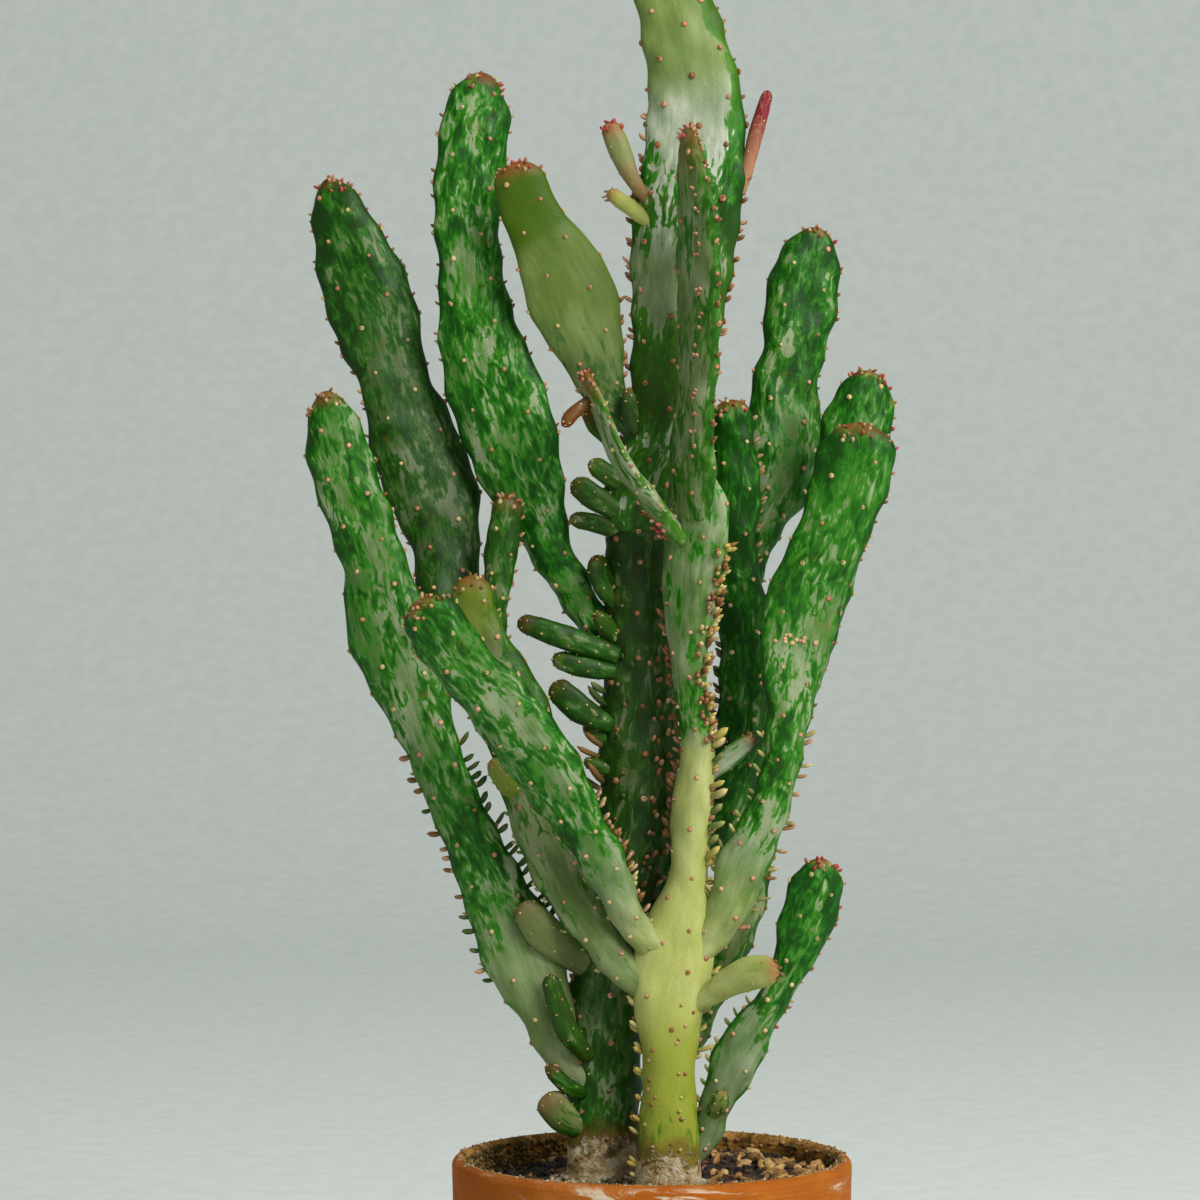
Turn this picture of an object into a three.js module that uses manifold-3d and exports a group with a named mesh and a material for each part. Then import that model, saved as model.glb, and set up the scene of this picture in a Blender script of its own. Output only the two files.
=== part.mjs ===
import * as THREE from 'three';
import { mergeVertices } from 'three/addons/utils/BufferGeometryUtils.js';
import Module from 'manifold-3d';

const wasm = await Module();
wasm.setup();

// A monstrose prickly pear in its clay pot. Millimetres, +Z up, the origin at the middle of the
// pot's foot, on the surface that it stands on. -Y is the side that is seen, +X is its right.

// The pot: the rim is measured over its outside, and the collar is the thick band under it.
const RIM_DIAMETER = 140;
const POT_HEIGHT = 126;
const POT_WALL = 5.5;
const LIP_ROUNDING = 3;
const COLLAR_HEIGHT = 31;
const COLLAR_STEP = 5.5;
const COLLAR_ROUNDING = 2.4;
const FOOT_DIAMETER = 92;
const FOOT_ROUNDING = 1.5;
const FLOOR_THICKNESS = 8;
const DRAIN_HOLE_RADIUS = 5.5;
const DRAIN_HOLE_COUNT = 3;
const DRAIN_HOLE_SIDES = 16;
const DRAIN_CIRCLE_RADIUS = 22;
const ROUND_SIDES = 36;

// Inside, a slanting shoulder leads from the collar's wall down to the body's: its width, and its
// two ends' heights over the collar's lower edge.
const SHOULDER_WIDTH = 4.5;
const SHOULDER_LOW = -4;
const SHOULDER_HIGH = 8;

// The soil's mean height, how much it rises to the right and to the back, its crumbs, and the
// radii of the rings of its surface.
const SOIL_HEIGHT = 116.5;
const SOIL_SLOPE = 0.028;
const CRUMB_HEIGHT = 0.9;
const SOIL_RING_RADII = [54, 42, 28, 14];

// The soil's two slow waves, in radians a millimetre along X and Y, where the first one starts, and
// the second one's share.
const LONG_WAVE = [0.11, 0.09];
const LONG_WAVE_START = 1.2;
const CROSS_WAVE = [-0.17, 0.21];
const CROSS_WAVE_SHARE = 0.6;

// Chips: how many, their sizes, the shape of one of size 1, how far they tilt, how far their
// middles lie over the soil, and where they lie.
const CHIP_COUNT = 8;
const CHIP_SIZES = [2, 4.4];
const CHIP_SHAPE = [2.2, 1.5, 1];
const CHIP_TILTS = [-0.3, 0.3];
const CHIP_LIFT = 0.35;
const CHIP_DISTANCES = [30, 57];
const CHIP_DIRECTIONS = [-70, 80];

// Touching pieces keep this gap.
const GAP = 0.3;

// Areoles sit in staggered rows on every stem: a row has one every other ring of the stem's skin.
// Each stands on a low boss, and the skin between them lies a little lower.
const RING_SPACING = 8.4;
const BOSS_HEIGHT = 1;
const EDGE_BOSS_HEIGHT = 1.4;
const HOLLOW_DEPTH = 0.3;
const STEM_SIDES = 12;

// How much of a bud's or a leaflet's length is sunk in the stem, and its usual radius and lean.
const ROOT_DEPTH = 1.6;
const LEAFLET_RADIUS = 1.1;
const LEAFLET_LEAN = 0.5;

const GREEN = 0x2f7a2c;
const MARBLED_GREEN = 0x4f8a45;
const GREY_GREEN = 0x7f9465;
const PALE_CREAM = 0xb9c08a;
const YELLOW_CREAM = 0xb8bf62;
const BUD_RED = 0xb5474f;
const TERRACOTTA = 0xb8612f;
const SOIL_BROWN = 0x2c231c;

const SKIN_ROUGHNESS = 0.5;
const CLAY_ROUGHNESS = 0.85;
const SOIL_ROUGHNESS = 0.95;

// A seeded random number from 0 to 1, by the minimal standard generator, so that the soil is the
// same each time.
const RANDOM_FACTOR = 16807;
const RANDOM_MODULUS = 2147483647;
let seed = 7;
function random() {
  seed = (seed * RANDOM_FACTOR) % RANDOM_MODULUS;
  return seed / RANDOM_MODULUS;
}

function randomBetween([low, high]) {
  return low + (high - low) * random();
}

// A closed geometry as a solid: shared corners are merged and faces with no area dropped.
function solidOf(geometry) {
  const bare = geometry.clone();
  bare.deleteAttribute('normal');
  bare.deleteAttribute('uv');
  const merged = mergeVertices(bare, 1e-3);
  const corners = merged.index.array;
  const kept = [];
  for (let i = 0; i < corners.length; i += 3) {
    const [a, b, c] = [corners[i], corners[i + 1], corners[i + 2]];
    if (a !== b && b !== c && c !== a) {
      kept.push(a, b, c);
    }
  }
  return new wasm.Manifold(new wasm.Mesh({
    numProp: 3,
    vertProperties: new Float32Array(merged.attributes.position.array),
    triVerts: new Uint32Array(kept),
  }));
}

function geometryOf(solid) {
  const mesh = solid.getMesh();
  const geometry = new THREE.BufferGeometry();
  geometry.setAttribute('position', new THREE.BufferAttribute(mesh.vertProperties, 3));
  geometry.setIndex(new THREE.BufferAttribute(mesh.triVerts, 1));
  geometry.computeVertexNormals();
  return geometry;
}

// The largest body of a solid, without the scraps that a cut can leave.
function largestBody(solid) {
  const bodies = solid.decompose();
  bodies.sort((one, other) => other.volume() - one.volume());
  return bodies[0];
}

function indexed(positions, corners) {
  const geometry = new THREE.BufferGeometry();
  geometry.setAttribute('position', new THREE.Float32BufferAttribute(positions, 3));
  geometry.setIndex(corners);
  return geometry;
}

// A stem is a row of stations [x, y, z, half width, half thickness, turn]. The turn, in degrees,
// swings the right edge away from the viewer. Between stations each number follows a
// Catmull-Rom curve, and u counts stations.
function stationAt(stations, u) {
  const i = Math.min(Math.floor(u), stations.length - 2);
  const f = u - i;
  const here = stations[i];
  const next = stations[i + 1];
  const before = stations[i - 1] ?? here.map((value, k) => 2 * value - next[k]);
  const after = stations[i + 2] ?? next.map((value, k) => 2 * value - here[k]);
  return here.map((p, k) => {
    const slope = next[k] - before[k];
    const bend = 2 * before[k] - 5 * p + 4 * next[k] - after[k];
    const twist = 3 * (p - next[k]) + after[k] - before[k];
    return p + 0.5 * f * (slope + f * (bend + f * twist));
  });
}

const STEPS_PER_STATION = 12;

// The stem's path measured along its length: at(s) gives the section's middle, its two axes, its
// direction and its half width and half thickness.
function pathOf(stations) {
  const count = (stations.length - 1) * STEPS_PER_STATION;
  const points = [];
  const lengths = [0];
  for (let i = 0; i <= count; i += 1) {
    points.push(new THREE.Vector3(...stationAt(stations, i / STEPS_PER_STATION)));
  }
  for (let i = 1; i <= count; i += 1) {
    lengths.push(lengths[i - 1] + points[i].distanceTo(points[i - 1]));
  }
  const total = lengths[count];
  const at = (s) => {
    let i = 1;
    while (i < count && lengths[i] < s) {
      i += 1;
    }
    const f = (s - lengths[i - 1]) / (lengths[i] - lengths[i - 1]);
    const station = stationAt(stations, Math.min((i - 1 + f) / STEPS_PER_STATION, stations.length - 1));
    const along = points[i].clone().sub(points[i - 1]).normalize();
    const across = new THREE.Vector3(0, 1, 0).cross(along).normalize();
    const back = along.clone().cross(across);
    const turn = THREE.MathUtils.degToRad(station[5]);
    const wide = across.clone().multiplyScalar(Math.cos(turn)).addScaledVector(back, Math.sin(turn));
    const thin = along.clone().cross(wide);
    const middle = new THREE.Vector3(station[0], station[1], station[2]);
    return { middle, along, wide, thin, halfWidth: station[3], halfThickness: station[4] };
  };
  return { total, at };
}

// A point on the skin at an angle round the section, where 0 is the right edge, 90 the back,
// 180 the left edge and 270 the front, raised along the skin's own outward direction.
function skinPoint(section, degrees, share, raise) {
  const angle = THREE.MathUtils.degToRad(degrees);
  const a = section.halfWidth;
  const b = section.halfThickness;
  const outward = section.wide.clone().multiplyScalar(b * Math.cos(angle))
    .addScaledVector(section.thin, a * Math.sin(angle)).normalize();
  const point = section.middle.clone()
    .addScaledVector(section.wide, a * share * Math.cos(angle))
    .addScaledVector(section.thin, b * share * Math.sin(angle))
    .addScaledVector(outward, raise);
  return { point, outward };
}

// Where the last two rings lie, as shares of the rounded tip's length that are left past them.
const TIP_RINGS = [0.5, 0.14];

// How far along the stem its rings lie: even ones, then those that round off the last stretch.
function ringPlaces(total, tip, spacing) {
  const even = Math.max(2, Math.round((total - tip) / spacing));
  const places = [];
  for (let i = 0; i <= even; i += 1) {
    places.push({ s: (total - tip) * i / even, share: 1 });
  }
  for (const left of TIP_RINGS) {
    places.push({ s: total - tip * left, share: Math.sqrt(1 - (1 - left) ** 2) });
  }
  return places;
}

// The skin of a stem: rings of sides round the path, a flat base, and a round tip that closes over
// the length given as tip. The bosses rise where an areole sits.
function stemGeometry({ stations, tip, sides = STEM_SIDES, spacing = RING_SPACING, boss = 1 }, margin) {
  const path = pathOf(stations);
  const places = ringPlaces(path.total, tip, spacing);
  const positions = [];
  const corners = [];
  places.forEach(({ s, share }, ring) => {
    const section = path.at(s);
    for (let side = 0; side < sides; side += 1) {
      const onEdge = side % (sides / 2) === 0;
      const areole = side % 2 === 0 && (ring + side / 2) % 2 === 0;
      const height = onEdge ? EDGE_BOSS_HEIGHT : BOSS_HEIGHT;
      const raise = (areole ? height : -HOLLOW_DEPTH) * boss * share;
      const { point } = skinPoint(section, 360 * side / sides, share, raise + margin);
      positions.push(...point.toArray());
    }
  });
  for (let ring = 0; ring < places.length - 1; ring += 1) {
    for (let side = 0; side < sides; side += 1) {
      const a = ring * sides + side;
      const b = ring * sides + (side + 1) % sides;
      corners.push(a, b, b + sides, a, b + sides, a + sides);
    }
  }
  const base = positions.length / 3;
  positions.push(...path.at(0).middle.toArray());
  const end = path.at(path.total);
  positions.push(...end.middle.addScaledVector(end.along, margin).toArray());
  const lastRing = (places.length - 1) * sides;
  for (let side = 0; side < sides; side += 1) {
    const next = (side + 1) % sides;
    corners.push(base, next, side);
    corners.push(lastRing + side, lastRing + next, base + 1);
  }
  return indexed(positions, corners);
}

// A three-sided bud or leaflet, pointed at both ends, that stands out of the skin from its root.
function leafletSolid(root, direction, length, radius, margin) {
  const geometry = new THREE.SphereGeometry(1, 3, 2);
  geometry.rotateX(Math.PI / 2);
  geometry.scale(radius + margin, radius + margin, (length + ROOT_DEPTH) / 2 + margin);
  geometry.applyQuaternion(new THREE.Quaternion().setFromUnitVectors(
    new THREE.Vector3(0, 0, 1), direction,
  ));
  const middle = root.clone().addScaledVector(direction, (length - ROOT_DEPTH) / 2);
  geometry.translate(...middle.toArray());
  return solidOf(geometry);
}

// A row of leaflets along a stem: at an angle round it, between two shares of its length, a spacing
// apart, leaning towards the tip by lean.
function leafletRow(stations, row, margin) {
  const path = pathOf(stations);
  const leaflets = [];
  const { angle, from, to, spacing, length } = row;
  const { radius = LEAFLET_RADIUS, lean = LEAFLET_LEAN } = row;
  for (let s = from * path.total; s <= to * path.total; s += spacing) {
    const section = path.at(s);
    const { point, outward } = skinPoint(section, angle, 1, 0);
    const direction = outward.addScaledVector(section.along, lean).normalize();
    leaflets.push(leafletSolid(point, direction, length, radius, margin));
  }
  return leaflets;
}

// Young pads are small, so they have few sides and low bosses.
const YOUNG_PAD = { sides: 6, spacing: 8, boss: 0.4, tip: 4 };

// A whole stem with its rows of leaflets and its young pads, grown outwards by a margin.
function grownSolid(plan, margin) {
  let solid = solidOf(stemGeometry(plan, margin));
  for (const row of plan.rows ?? []) {
    for (const leaflet of leafletRow(plan.stations, row, margin)) {
      solid = solid.add(leaflet);
    }
  }
  for (const pad of plan.youngPads ?? []) {
    solid = solid.add(solidOf(stemGeometry({ ...YOUNG_PAD, ...pad }, margin)));
  }
  return solid;
}

const grownStems = {};
const plant = new THREE.Group();

function meshOf(name, solid, color, roughness) {
  const material = new THREE.MeshStandardMaterial({ color, roughness, metalness: 0 });
  const mesh = new THREE.Mesh(geometryOf(solid), material);
  mesh.name = name;
  return mesh;
}

// Adds a stem to the plant. Its base starts inside what it grows from, and the part of it that
// would lie there is cut away, with the gap between them.
function addStem(name, color, plan) {
  let solid = grownSolid(plan, 0);
  for (const other of plan.growsFrom ?? []) {
    solid = solid.subtract(grownStems[other]);
  }
  grownStems[name] = grownSolid(plan, GAP);
  plant.add(meshOf(name, largestBody(solid), color, SKIN_ROUGHNESS));
}

// The back trunk comes out of the soil left of the middle. Young pads stand on its left edge, the
// lowest beside the soil.
function backTrunk() {
  addStem('back_trunk', GREEN, {
    tip: 5,
    stations: [
      [-17, 9, 98, 13, 9, 8],
      [-17, 9, 136, 12.4, 8.5, 8],
      [-17, 9, 158, 13.2, 8, 8],
      [-15, 9, 186, 12.8, 8, 6],
      [-10, 9, 213, 12.6, 7.5, 4],
      [-5, 9, 245, 13.6, 7.5, 4],
      [-4, 9, 280, 13.2, 7, 4],
      [-4.5, 9, 312, 12, 7, 2],
      [-5.5, 9, 347, 10.4, 6, 0],
    ],
    rows: [
      { angle: 180, from: 0.62, to: 0.76, spacing: 6.5, length: 5 },
      { angle: 205, from: 0.22, to: 0.5, spacing: 14, length: 3.5 },
    ],
    youngPads: [
      { stations: [[-24, 5, 134, 3, 2.5, 0], [-31, 0, 139, 5.4, 2.5, 0], [-37.5, -3, 147.5, 5, 2.2, 0]] },
      { stations: [[-24, 2, 147, 2.5, 2.2, 0], [-30, -3, 151, 3.6, 2.2, 0], [-38, -5, 158, 2.6, 2, 0]] },
      { stations: [[-22, 0, 160, 3, 2.5, 0], [-30, -7, 171, 5, 2.5, 0], [-37, -9, 190, 4, 2.2, 0]] },
      {
        stations: [
          [-22, 6, 190, 3, 2.5, 0],
          [-31, -2, 198, 6, 2.5, 0],
          [-39, -6, 206, 7.2, 2.5, 0],
          [-46, -9, 216, 4, 2, 0],
        ],
      },
      { stations: [[-14, 4, 276, 2.5, 2, 0], [-25, 0, 282, 4.6, 2.2, 0], [-35, -1, 291, 4, 2, 0]] },
      { stations: [[-13, 3, 295, 2.5, 2, 0], [-24, 1, 297, 3.6, 2.2, 0], [-35, 0, 300, 2.6, 2, 0]] },
      { stations: [[-12, 4, 301, 3, 2.5, 0], [-30, -2, 307, 4.2, 2.5, 0], [-47, -3, 313, 3, 2, 0]] },
      { stations: [[-13, 6, 306, 2.2, 2, 0], [-16, 1, 311, 3, 2, 0], [-20, -2, 316, 2, 2, 0]] },
      { stations: [[-12, 8, 318, 3, 2.2, 40], [-17, 4, 326, 4.6, 2.4, 40], [-20, 2, 336, 4, 2, 40]] },
      { stations: [[-13, 8, 270, 2, 2, 0], [-19, 6, 273, 2.6, 2, 0], [-24, 6, 277, 2, 2, 0]] },
      { stations: [[-13, 6, 260, 2, 2, 0], [-19, 5, 262, 2.2, 2, 0], [-24, 5, 264, 2, 2, 0]] },
    ],
  });
}

// The tall pale pad is the trunk's upper end. It is the highest thing on the plant.
function tallPad() {
  addStem('tall_pad', PALE_CREAM, {
    growsFrom: ['back_trunk'],
    tip: 12,
    stations: [
      [-6, 9, 338, 9, 5, 0],
      [-6, 9, 352, 10.6, 6, 0],
      [-2.5, 9, 364, 12, 6, 0],
      [5, 8, 380, 13.6, 5.5, 0],
      [8, 8, 409, 14.4, 5.5, -4],
      [11, 8, 444, 18.5, 5, -8],
      [14.5, 8, 470, 18, 5, -8],
      [15.5, 9, 496, 16.4, 5, -4],
      [11.5, 9, 516, 14.4, 5, 0],
      [6, 10, 538, 13, 4.6, 4],
      [-4, 11, 564, 11, 4, 8],
    ],
    youngPads: [
      { stations: [[-8, 7, 360, 2.2, 2, 0], [-15, 5, 364, 3.4, 2, 0], [-22, 4, 369, 2.8, 2, 0]] },
      { stations: [[-8, 7, 350, 2.4, 2, 0], [-18, 5, 355, 4.2, 2.2, 0], [-28, 4, 362, 3.4, 2, 0]] },
      { stations: [[-10, 7, 343, 2, 2, 0], [-19, 5, 347, 3, 2, 0], [-29, 4, 349, 2.4, 2, 0]] },
    ],
  });
}

// The front stem comes out of the soil as a yellow-cream stem, widens where four arms leave it,
// narrows to a neck with a column of buds on its right edge, and widens again to its upper end.
function frontStem() {
  addStem('front_stem', YELLOW_CREAM, {
    tip: 16,
    stations: [
      [5.5, -13, 98, 12, 9, 0],
      [5.5, -13, 130, 10.9, 8.4, 0],
      [5.8, -12, 157, 9, 7.5, 0],
      [5.6, -12, 176, 11.6, 7.5, 0],
      [7, -12, 193, 13.9, 7.5, -6],
      [9.5, -12, 210, 10.6, 7, -12],
      [12.7, -12, 226, 6.6, 6, -30],
      [13.8, -12, 250, 8, 5, -40],
      [15.6, -12, 270, 6.2, 4.2, -44],
      [12.6, -12, 296, 6.8, 4.4, -44],
      [13, -12, 320, 11.4, 4.8, -40],
      [15.3, -13, 346, 13.4, 4.8, -40],
      [14, -14, 368, 11, 4.2, -46],
    ],
    rows: [
      { angle: 0, from: 0.27, to: 0.42, spacing: 9, length: 3.5 },
      { angle: 0, from: 0.46, to: 0.64, spacing: 7.4, length: 7, radius: 1.8, lean: 0.25 },
      { angle: 0, from: 0.67, to: 0.88, spacing: 6, length: 3.4, radius: 1.7, lean: 0.2 },
      { angle: 325, from: 0.68, to: 0.86, spacing: 8, length: 2.6, radius: 1.5, lean: 0.2 },
      { angle: 180, from: 0.2, to: 0.36, spacing: 7.6, length: 4, radius: 1.3 },
      { angle: 180, from: 0.56, to: 0.75, spacing: 7, length: 4, radius: 1.4 },
    ],
  });
}

// The fin is the front stem's upper end, a thin tapering pad seen nearly edge on.
function upperFin() {
  addStem('upper_fin', MARBLED_GREEN, {
    growsFrom: ['front_stem'],
    tip: 9,
    stations: [
      [14, -14, 348, 8, 4, -48],
      [13.5, -15, 362, 12, 4.2, -56],
      [14.5, -15, 384, 12.6, 3.8, -62],
      [15.6, -15, 406, 12.6, 3.6, -62],
      [16, -15, 430, 12.8, 3.6, -62],
      [15.3, -15, 452, 12, 3.6, -62],
      [13.6, -14, 470, 7.6, 3, -60],
      [12.6, -13, 485, 3.4, 2, -60],
    ],
  });
}

// The left arm leaves the trunk low down and swings up and out in three pads.
function leftArm() {
  addStem('left_arm', GREEN, {
    growsFrom: ['back_trunk'],
    tip: 12,
    stations: [
      [-22, 7, 146, 5, 4.2, 0],
      [-30.5, 5, 160, 7, 5, 0],
      [-37.2, 3, 177, 9.6, 5.5, 4],
      [-45, 2, 196, 14.2, 5.5, 4],
      [-54, 1, 215, 11.6, 5.5, 4],
      [-62, 0, 234, 9.3, 5, 4],
      [-71, -1, 253, 8.9, 4.6, 0],
      [-78, -2, 273, 9.8, 5, -6],
      [-85, -3, 293, 14.1, 5.5, -10],
      [-92, -4, 312, 14.8, 5.5, -10],
      [-97, -5, 333, 11, 4.8, -6],
      [-103.3, -6, 352, 11, 4.8, 0],
      [-109.3, -7, 372, 10.6, 4.5, 0],
      [-114, -8, 393, 5.8, 3.6, 0],
    ],
    rows: [
      { angle: 180, from: 0.25, to: 0.46, spacing: 7.4, length: 5, lean: 0.1 },
      { angle: 0, from: 0.29, to: 0.45, spacing: 8, length: 4.5, lean: 0.2 },
    ],
  });
}

// Two pads, one on the other, that leave the left arm's second pad and stand behind its third.
function leftRearPads() {
  addStem('left_rear_pads', GREEN, {
    growsFrom: ['left_arm'],
    tip: 14,
    stations: [
      [-80, 0, 292, 6, 4, 6],
      [-76, 9, 307, 8.4, 4.8, 8],
      [-72, 14, 323, 11, 5, 8],
      [-73, 18, 339, 11.6, 5, 8],
      [-77.5, 21, 358, 16, 5.2, 12],
      [-85.4, 23, 380, 15.6, 5, 12],
      [-91, 24, 397, 12.2, 4.5, 12],
      [-98, 25, 420, 15.1, 5, 6],
      [-104, 26, 436, 14.7, 5, 0],
      [-110, 27, 454, 11, 4.5, -8],
      [-115.5, 28, 471, 6.5, 4, -8],
    ],
  });
}

// The tall left pad leaves the trunk by a narrow foot.
function tallLeftPad() {
  addStem('tall_left_pad', GREEN, {
    growsFrom: ['back_trunk'],
    tip: 15,
    stations: [
      [-9, 9, 300, 5, 4, 0],
      [-19, 10, 310, 5.2, 4.4, 0],
      [-28, 11, 325, 6.2, 4.6, -6],
      [-37, 11, 341, 8, 4.8, -10],
      [-43.8, 11, 359, 13.4, 5.2, -14],
      [-50, 11, 379, 16.5, 5.4, -14],
      [-56, 11, 396, 16.8, 5.2, -12],
      [-61, 12, 414, 14.1, 5, -8],
      [-64.5, 14, 440, 10.8, 4.8, 4],
      [-65, 15, 464, 11.5, 4.8, 10],
      [-62.5, 15, 488, 12, 4.6, 10],
      [-59.5, 15, 507, 8.8, 4, 10],
    ],
  });
}

// The pale pad between the tall left pad and the tall pad is young, with a small head of new
// growth on it.
function creamPad() {
  addStem('cream_pad', PALE_CREAM, {
    growsFrom: ['tall_pad'],
    tip: 7,
    stations: [
      [-2, 8, 376, 4, 3, 0],
      [-10, 7, 385, 4.8, 3.2, 0],
      [-16.8, 5, 395, 7.8, 3.4, 0],
      [-22.3, 2.5, 411, 12.6, 3.8, 6],
      [-27.5, 0.5, 425, 15.8, 4, 8],
      [-34, -2, 440, 13.6, 3.8, 8],
      [-40, -3, 450, 10.4, 3.4, 4],
      [-45, -4, 462, 9.4, 3.2, 0],
      [-48.3, -5, 473, 8.2, 3, 0],
    ],
    youngPads: [
      { stations: [[-6, 3, 379, 2, 1.8, 10], [-7.5, 0, 386, 2.8, 1.8, 10], [-8.5, -1, 394, 2.2, 1.6, 10]] },
    ],
  });
}

// A thin pad that leaves the front stem's left edge and is seen edge on.
function edgeOnPad() {
  addStem('edge_on_pad', PALE_CREAM, {
    growsFrom: ['front_stem', 'upper_fin'],
    sides: 8,
    tip: 5,
    stations: [
      [11, -13, 340, 3.4, 3, -70],
      [5, -14, 347, 4.6, 3.2, -74],
      [-1, -16.5, 355, 7, 3, -76],
      [-8, -18.5, 363.5, 9, 2.6, -78],
      [-13.5, -19, 373, 9.4, 2.2, -78],
      [-18.5, -18, 386, 8, 2.2, -78],
      [-24, -17, 399, 5.4, 1.8, -78],
    ],
    youngPads: [
      { stations: [[-16, -16, 376, 2.2, 2, 0], [-19.5, -14, 382, 3.6, 2, 0], [-22.5, -13, 389, 3, 1.6, 0]] },
      {
        tip: 3,
        stations: [[-22, -18, 389, 2, 1.8, 0], [-27, -20, 385, 2, 1.7, 0], [-31, -21, 380, 1.6, 1.4, 0]],
      },
    ],
  });
}

// Two long pads leave the yellow stem's left shoulder. The nearer one leans out to the viewer.
function frontLeftPad() {
  addStem('front_left_pad', MARBLED_GREEN, {
    growsFrom: ['front_stem'],
    tip: 8,
    stations: [
      [7, -13, 195, 4.5, 4, 0],
      [-5, -15, 205, 5, 3.8, -4],
      [-11, -20, 217, 5.9, 4.6, -6],
      [-17, -23, 230, 7.4, 4.8, -8],
      [-24, -27, 242, 7.8, 4.8, -10],
      [-31, -30, 254, 10.3, 5, -12],
      [-42, -35.5, 271, 12, 5.2, -14],
      [-55, -40, 288, 10.6, 5, -12],
      [-64, -44, 298, 9.5, 4.8, -10],
      [-72, -47, 309, 10, 4.8, -8],
      [-80, -50, 320, 8, 4.2, -8],
    ],
    rows: [
      { angle: 0, from: 0.16, to: 0.36, spacing: 7, length: 3.4, radius: 1.4, lean: 0.3 },
    ],
  });
}

function longLeftPad() {
  addStem('long_left_pad', GREY_GREEN, {
    growsFrom: ['front_stem'],
    tip: 8,
    stations: [
      [6, -12, 183, 4.5, 3.6, 0],
      [-7, -12, 189, 5.2, 4, 0],
      [-15, -11.5, 199, 5.8, 4.4, 0],
      [-23, -11, 210, 7.2, 4.6, 0],
      [-31, -9.5, 223, 8.6, 4.6, 4],
      [-38, -8, 242, 10.6, 4.8, 6],
      [-43, -6, 262, 11.5, 4.8, 6],
      [-46.5, -5, 277, 12.1, 4.8, 4],
      [-51, -3, 289, 11, 4.6, 0],
      [-57, -3, 301, 8.9, 4.4, 0],
      [-61.5, -4, 314, 7.6, 4, 0],
      [-63, -5, 329, 6.4, 3.6, 0],
    ],
    youngPads: [
      { stations: [[-46, -7, 252, 2.5, 2, 0], [-50, -12, 257, 4, 2, 0], [-56, -14, 265, 3, 2, 0]] },
    ],
  });
}

// A narrow small pad stands behind the long pad's upper end.
function innerLeftPad() {
  addStem('inner_left_pad', GREEN, {
    growsFrom: ['long_left_pad'],
    sides: 8,
    tip: 5,
    stations: [
      [-54, -2, 296, 3, 3, 0],
      [-55, 1, 312, 3.4, 3, 0],
      [-54, 2, 326, 4.5, 3, 0],
      [-52.5, 2, 340, 5.8, 3, 0],
      [-50, 2, 357, 4.4, 2.6, 0],
    ],
  });
}

// A narrow column behind the front stem.
function rightColumn() {
  addStem('right_column', GREEN, {
    growsFrom: ['back_trunk'],
    tip: 7,
    stations: [
      [-2, 10, 216, 5, 4, 0],
      [9, 12, 225, 6.4, 4.6, 0],
      [20, 15, 238, 8, 5, 0],
      [28.5, 17, 253, 9, 5.2, 0],
      [32, 18, 271, 8.8, 5.2, 0],
      [33, 19, 296, 8.4, 5, 0],
      [32, 19, 321, 7.7, 4.8, 0],
      [30, 19, 340, 7, 4.6, 0],
      [30.5, 19, 357, 8, 4.6, 0],
      [29.3, 19, 373, 7.4, 4.4, 0],
      [28.5, 19, 391.5, 6.6, 4, 0],
    ],
    rows: [
      { angle: 0, from: 0.34, to: 0.6, spacing: 13, length: 2.6, radius: 1.2 },
    ],
  });
}

// A broad pad that leaves the column's back by a narrow foot.
function rightRearPad() {
  addStem('right_rear_pad', MARBLED_GREEN, {
    growsFrom: ['right_column'],
    tip: 14,
    stations: [
      [32, 19, 314, 3, 2.6, 0],
      [36, 25, 330, 3.6, 3.4, 0],
      [40.8, 28, 347, 6, 4, 6],
      [46, 30, 360, 10.4, 4.6, 10],
      [48, 32, 378, 13.8, 4.8, 12],
      [48, 34, 394, 12, 4.6, 12],
      [51, 35, 409, 11, 4.4, 10],
      [54, 37, 427, 13.1, 4.6, 8],
      [57, 38, 441, 11.2, 4.4, 4],
      [60, 39, 454.5, 8, 4, 0],
    ],
  });
}

// The right arm leaves the yellow stem's right shoulder and rises in two pads.
function rightArm() {
  addStem('right_arm', MARBLED_GREEN, {
    growsFrom: ['front_stem'],
    tip: 12,
    stations: [
      [9, -13, 193, 4.5, 4, 0],
      [19, -13.8, 202, 5.2, 3.8, 0],
      [26, -16, 214, 6.9, 4.6, 0],
      [31, -17, 228, 8.3, 4.8, 0],
      [37, -18, 241, 7.2, 4.8, 6],
      [44, -19.5, 262, 6.3, 4.6, 10],
      [47, -21, 283, 8, 4.8, 14],
      [48, -22, 298, 11.1, 5, 14],
      [50.5, -23, 313, 13.4, 5.2, 14],
      [54.5, -24, 327, 12.4, 4.8, 10],
      [60, -25, 339, 12, 4.8, 6],
      [66, -26, 356, 12.8, 5, 0],
      [70, -27, 370, 13, 4.8, -4],
      [71.5, -28, 381, 11.5, 4.2, -4],
    ],
    rows: [
      { angle: 0, from: 0.12, to: 0.42, spacing: 9, length: 5, radius: 1.2, lean: 0.25 },
      { angle: 180, from: 0.3, to: 0.42, spacing: 8, length: 3.4, radius: 1.2 },
    ],
  });
}

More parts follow.
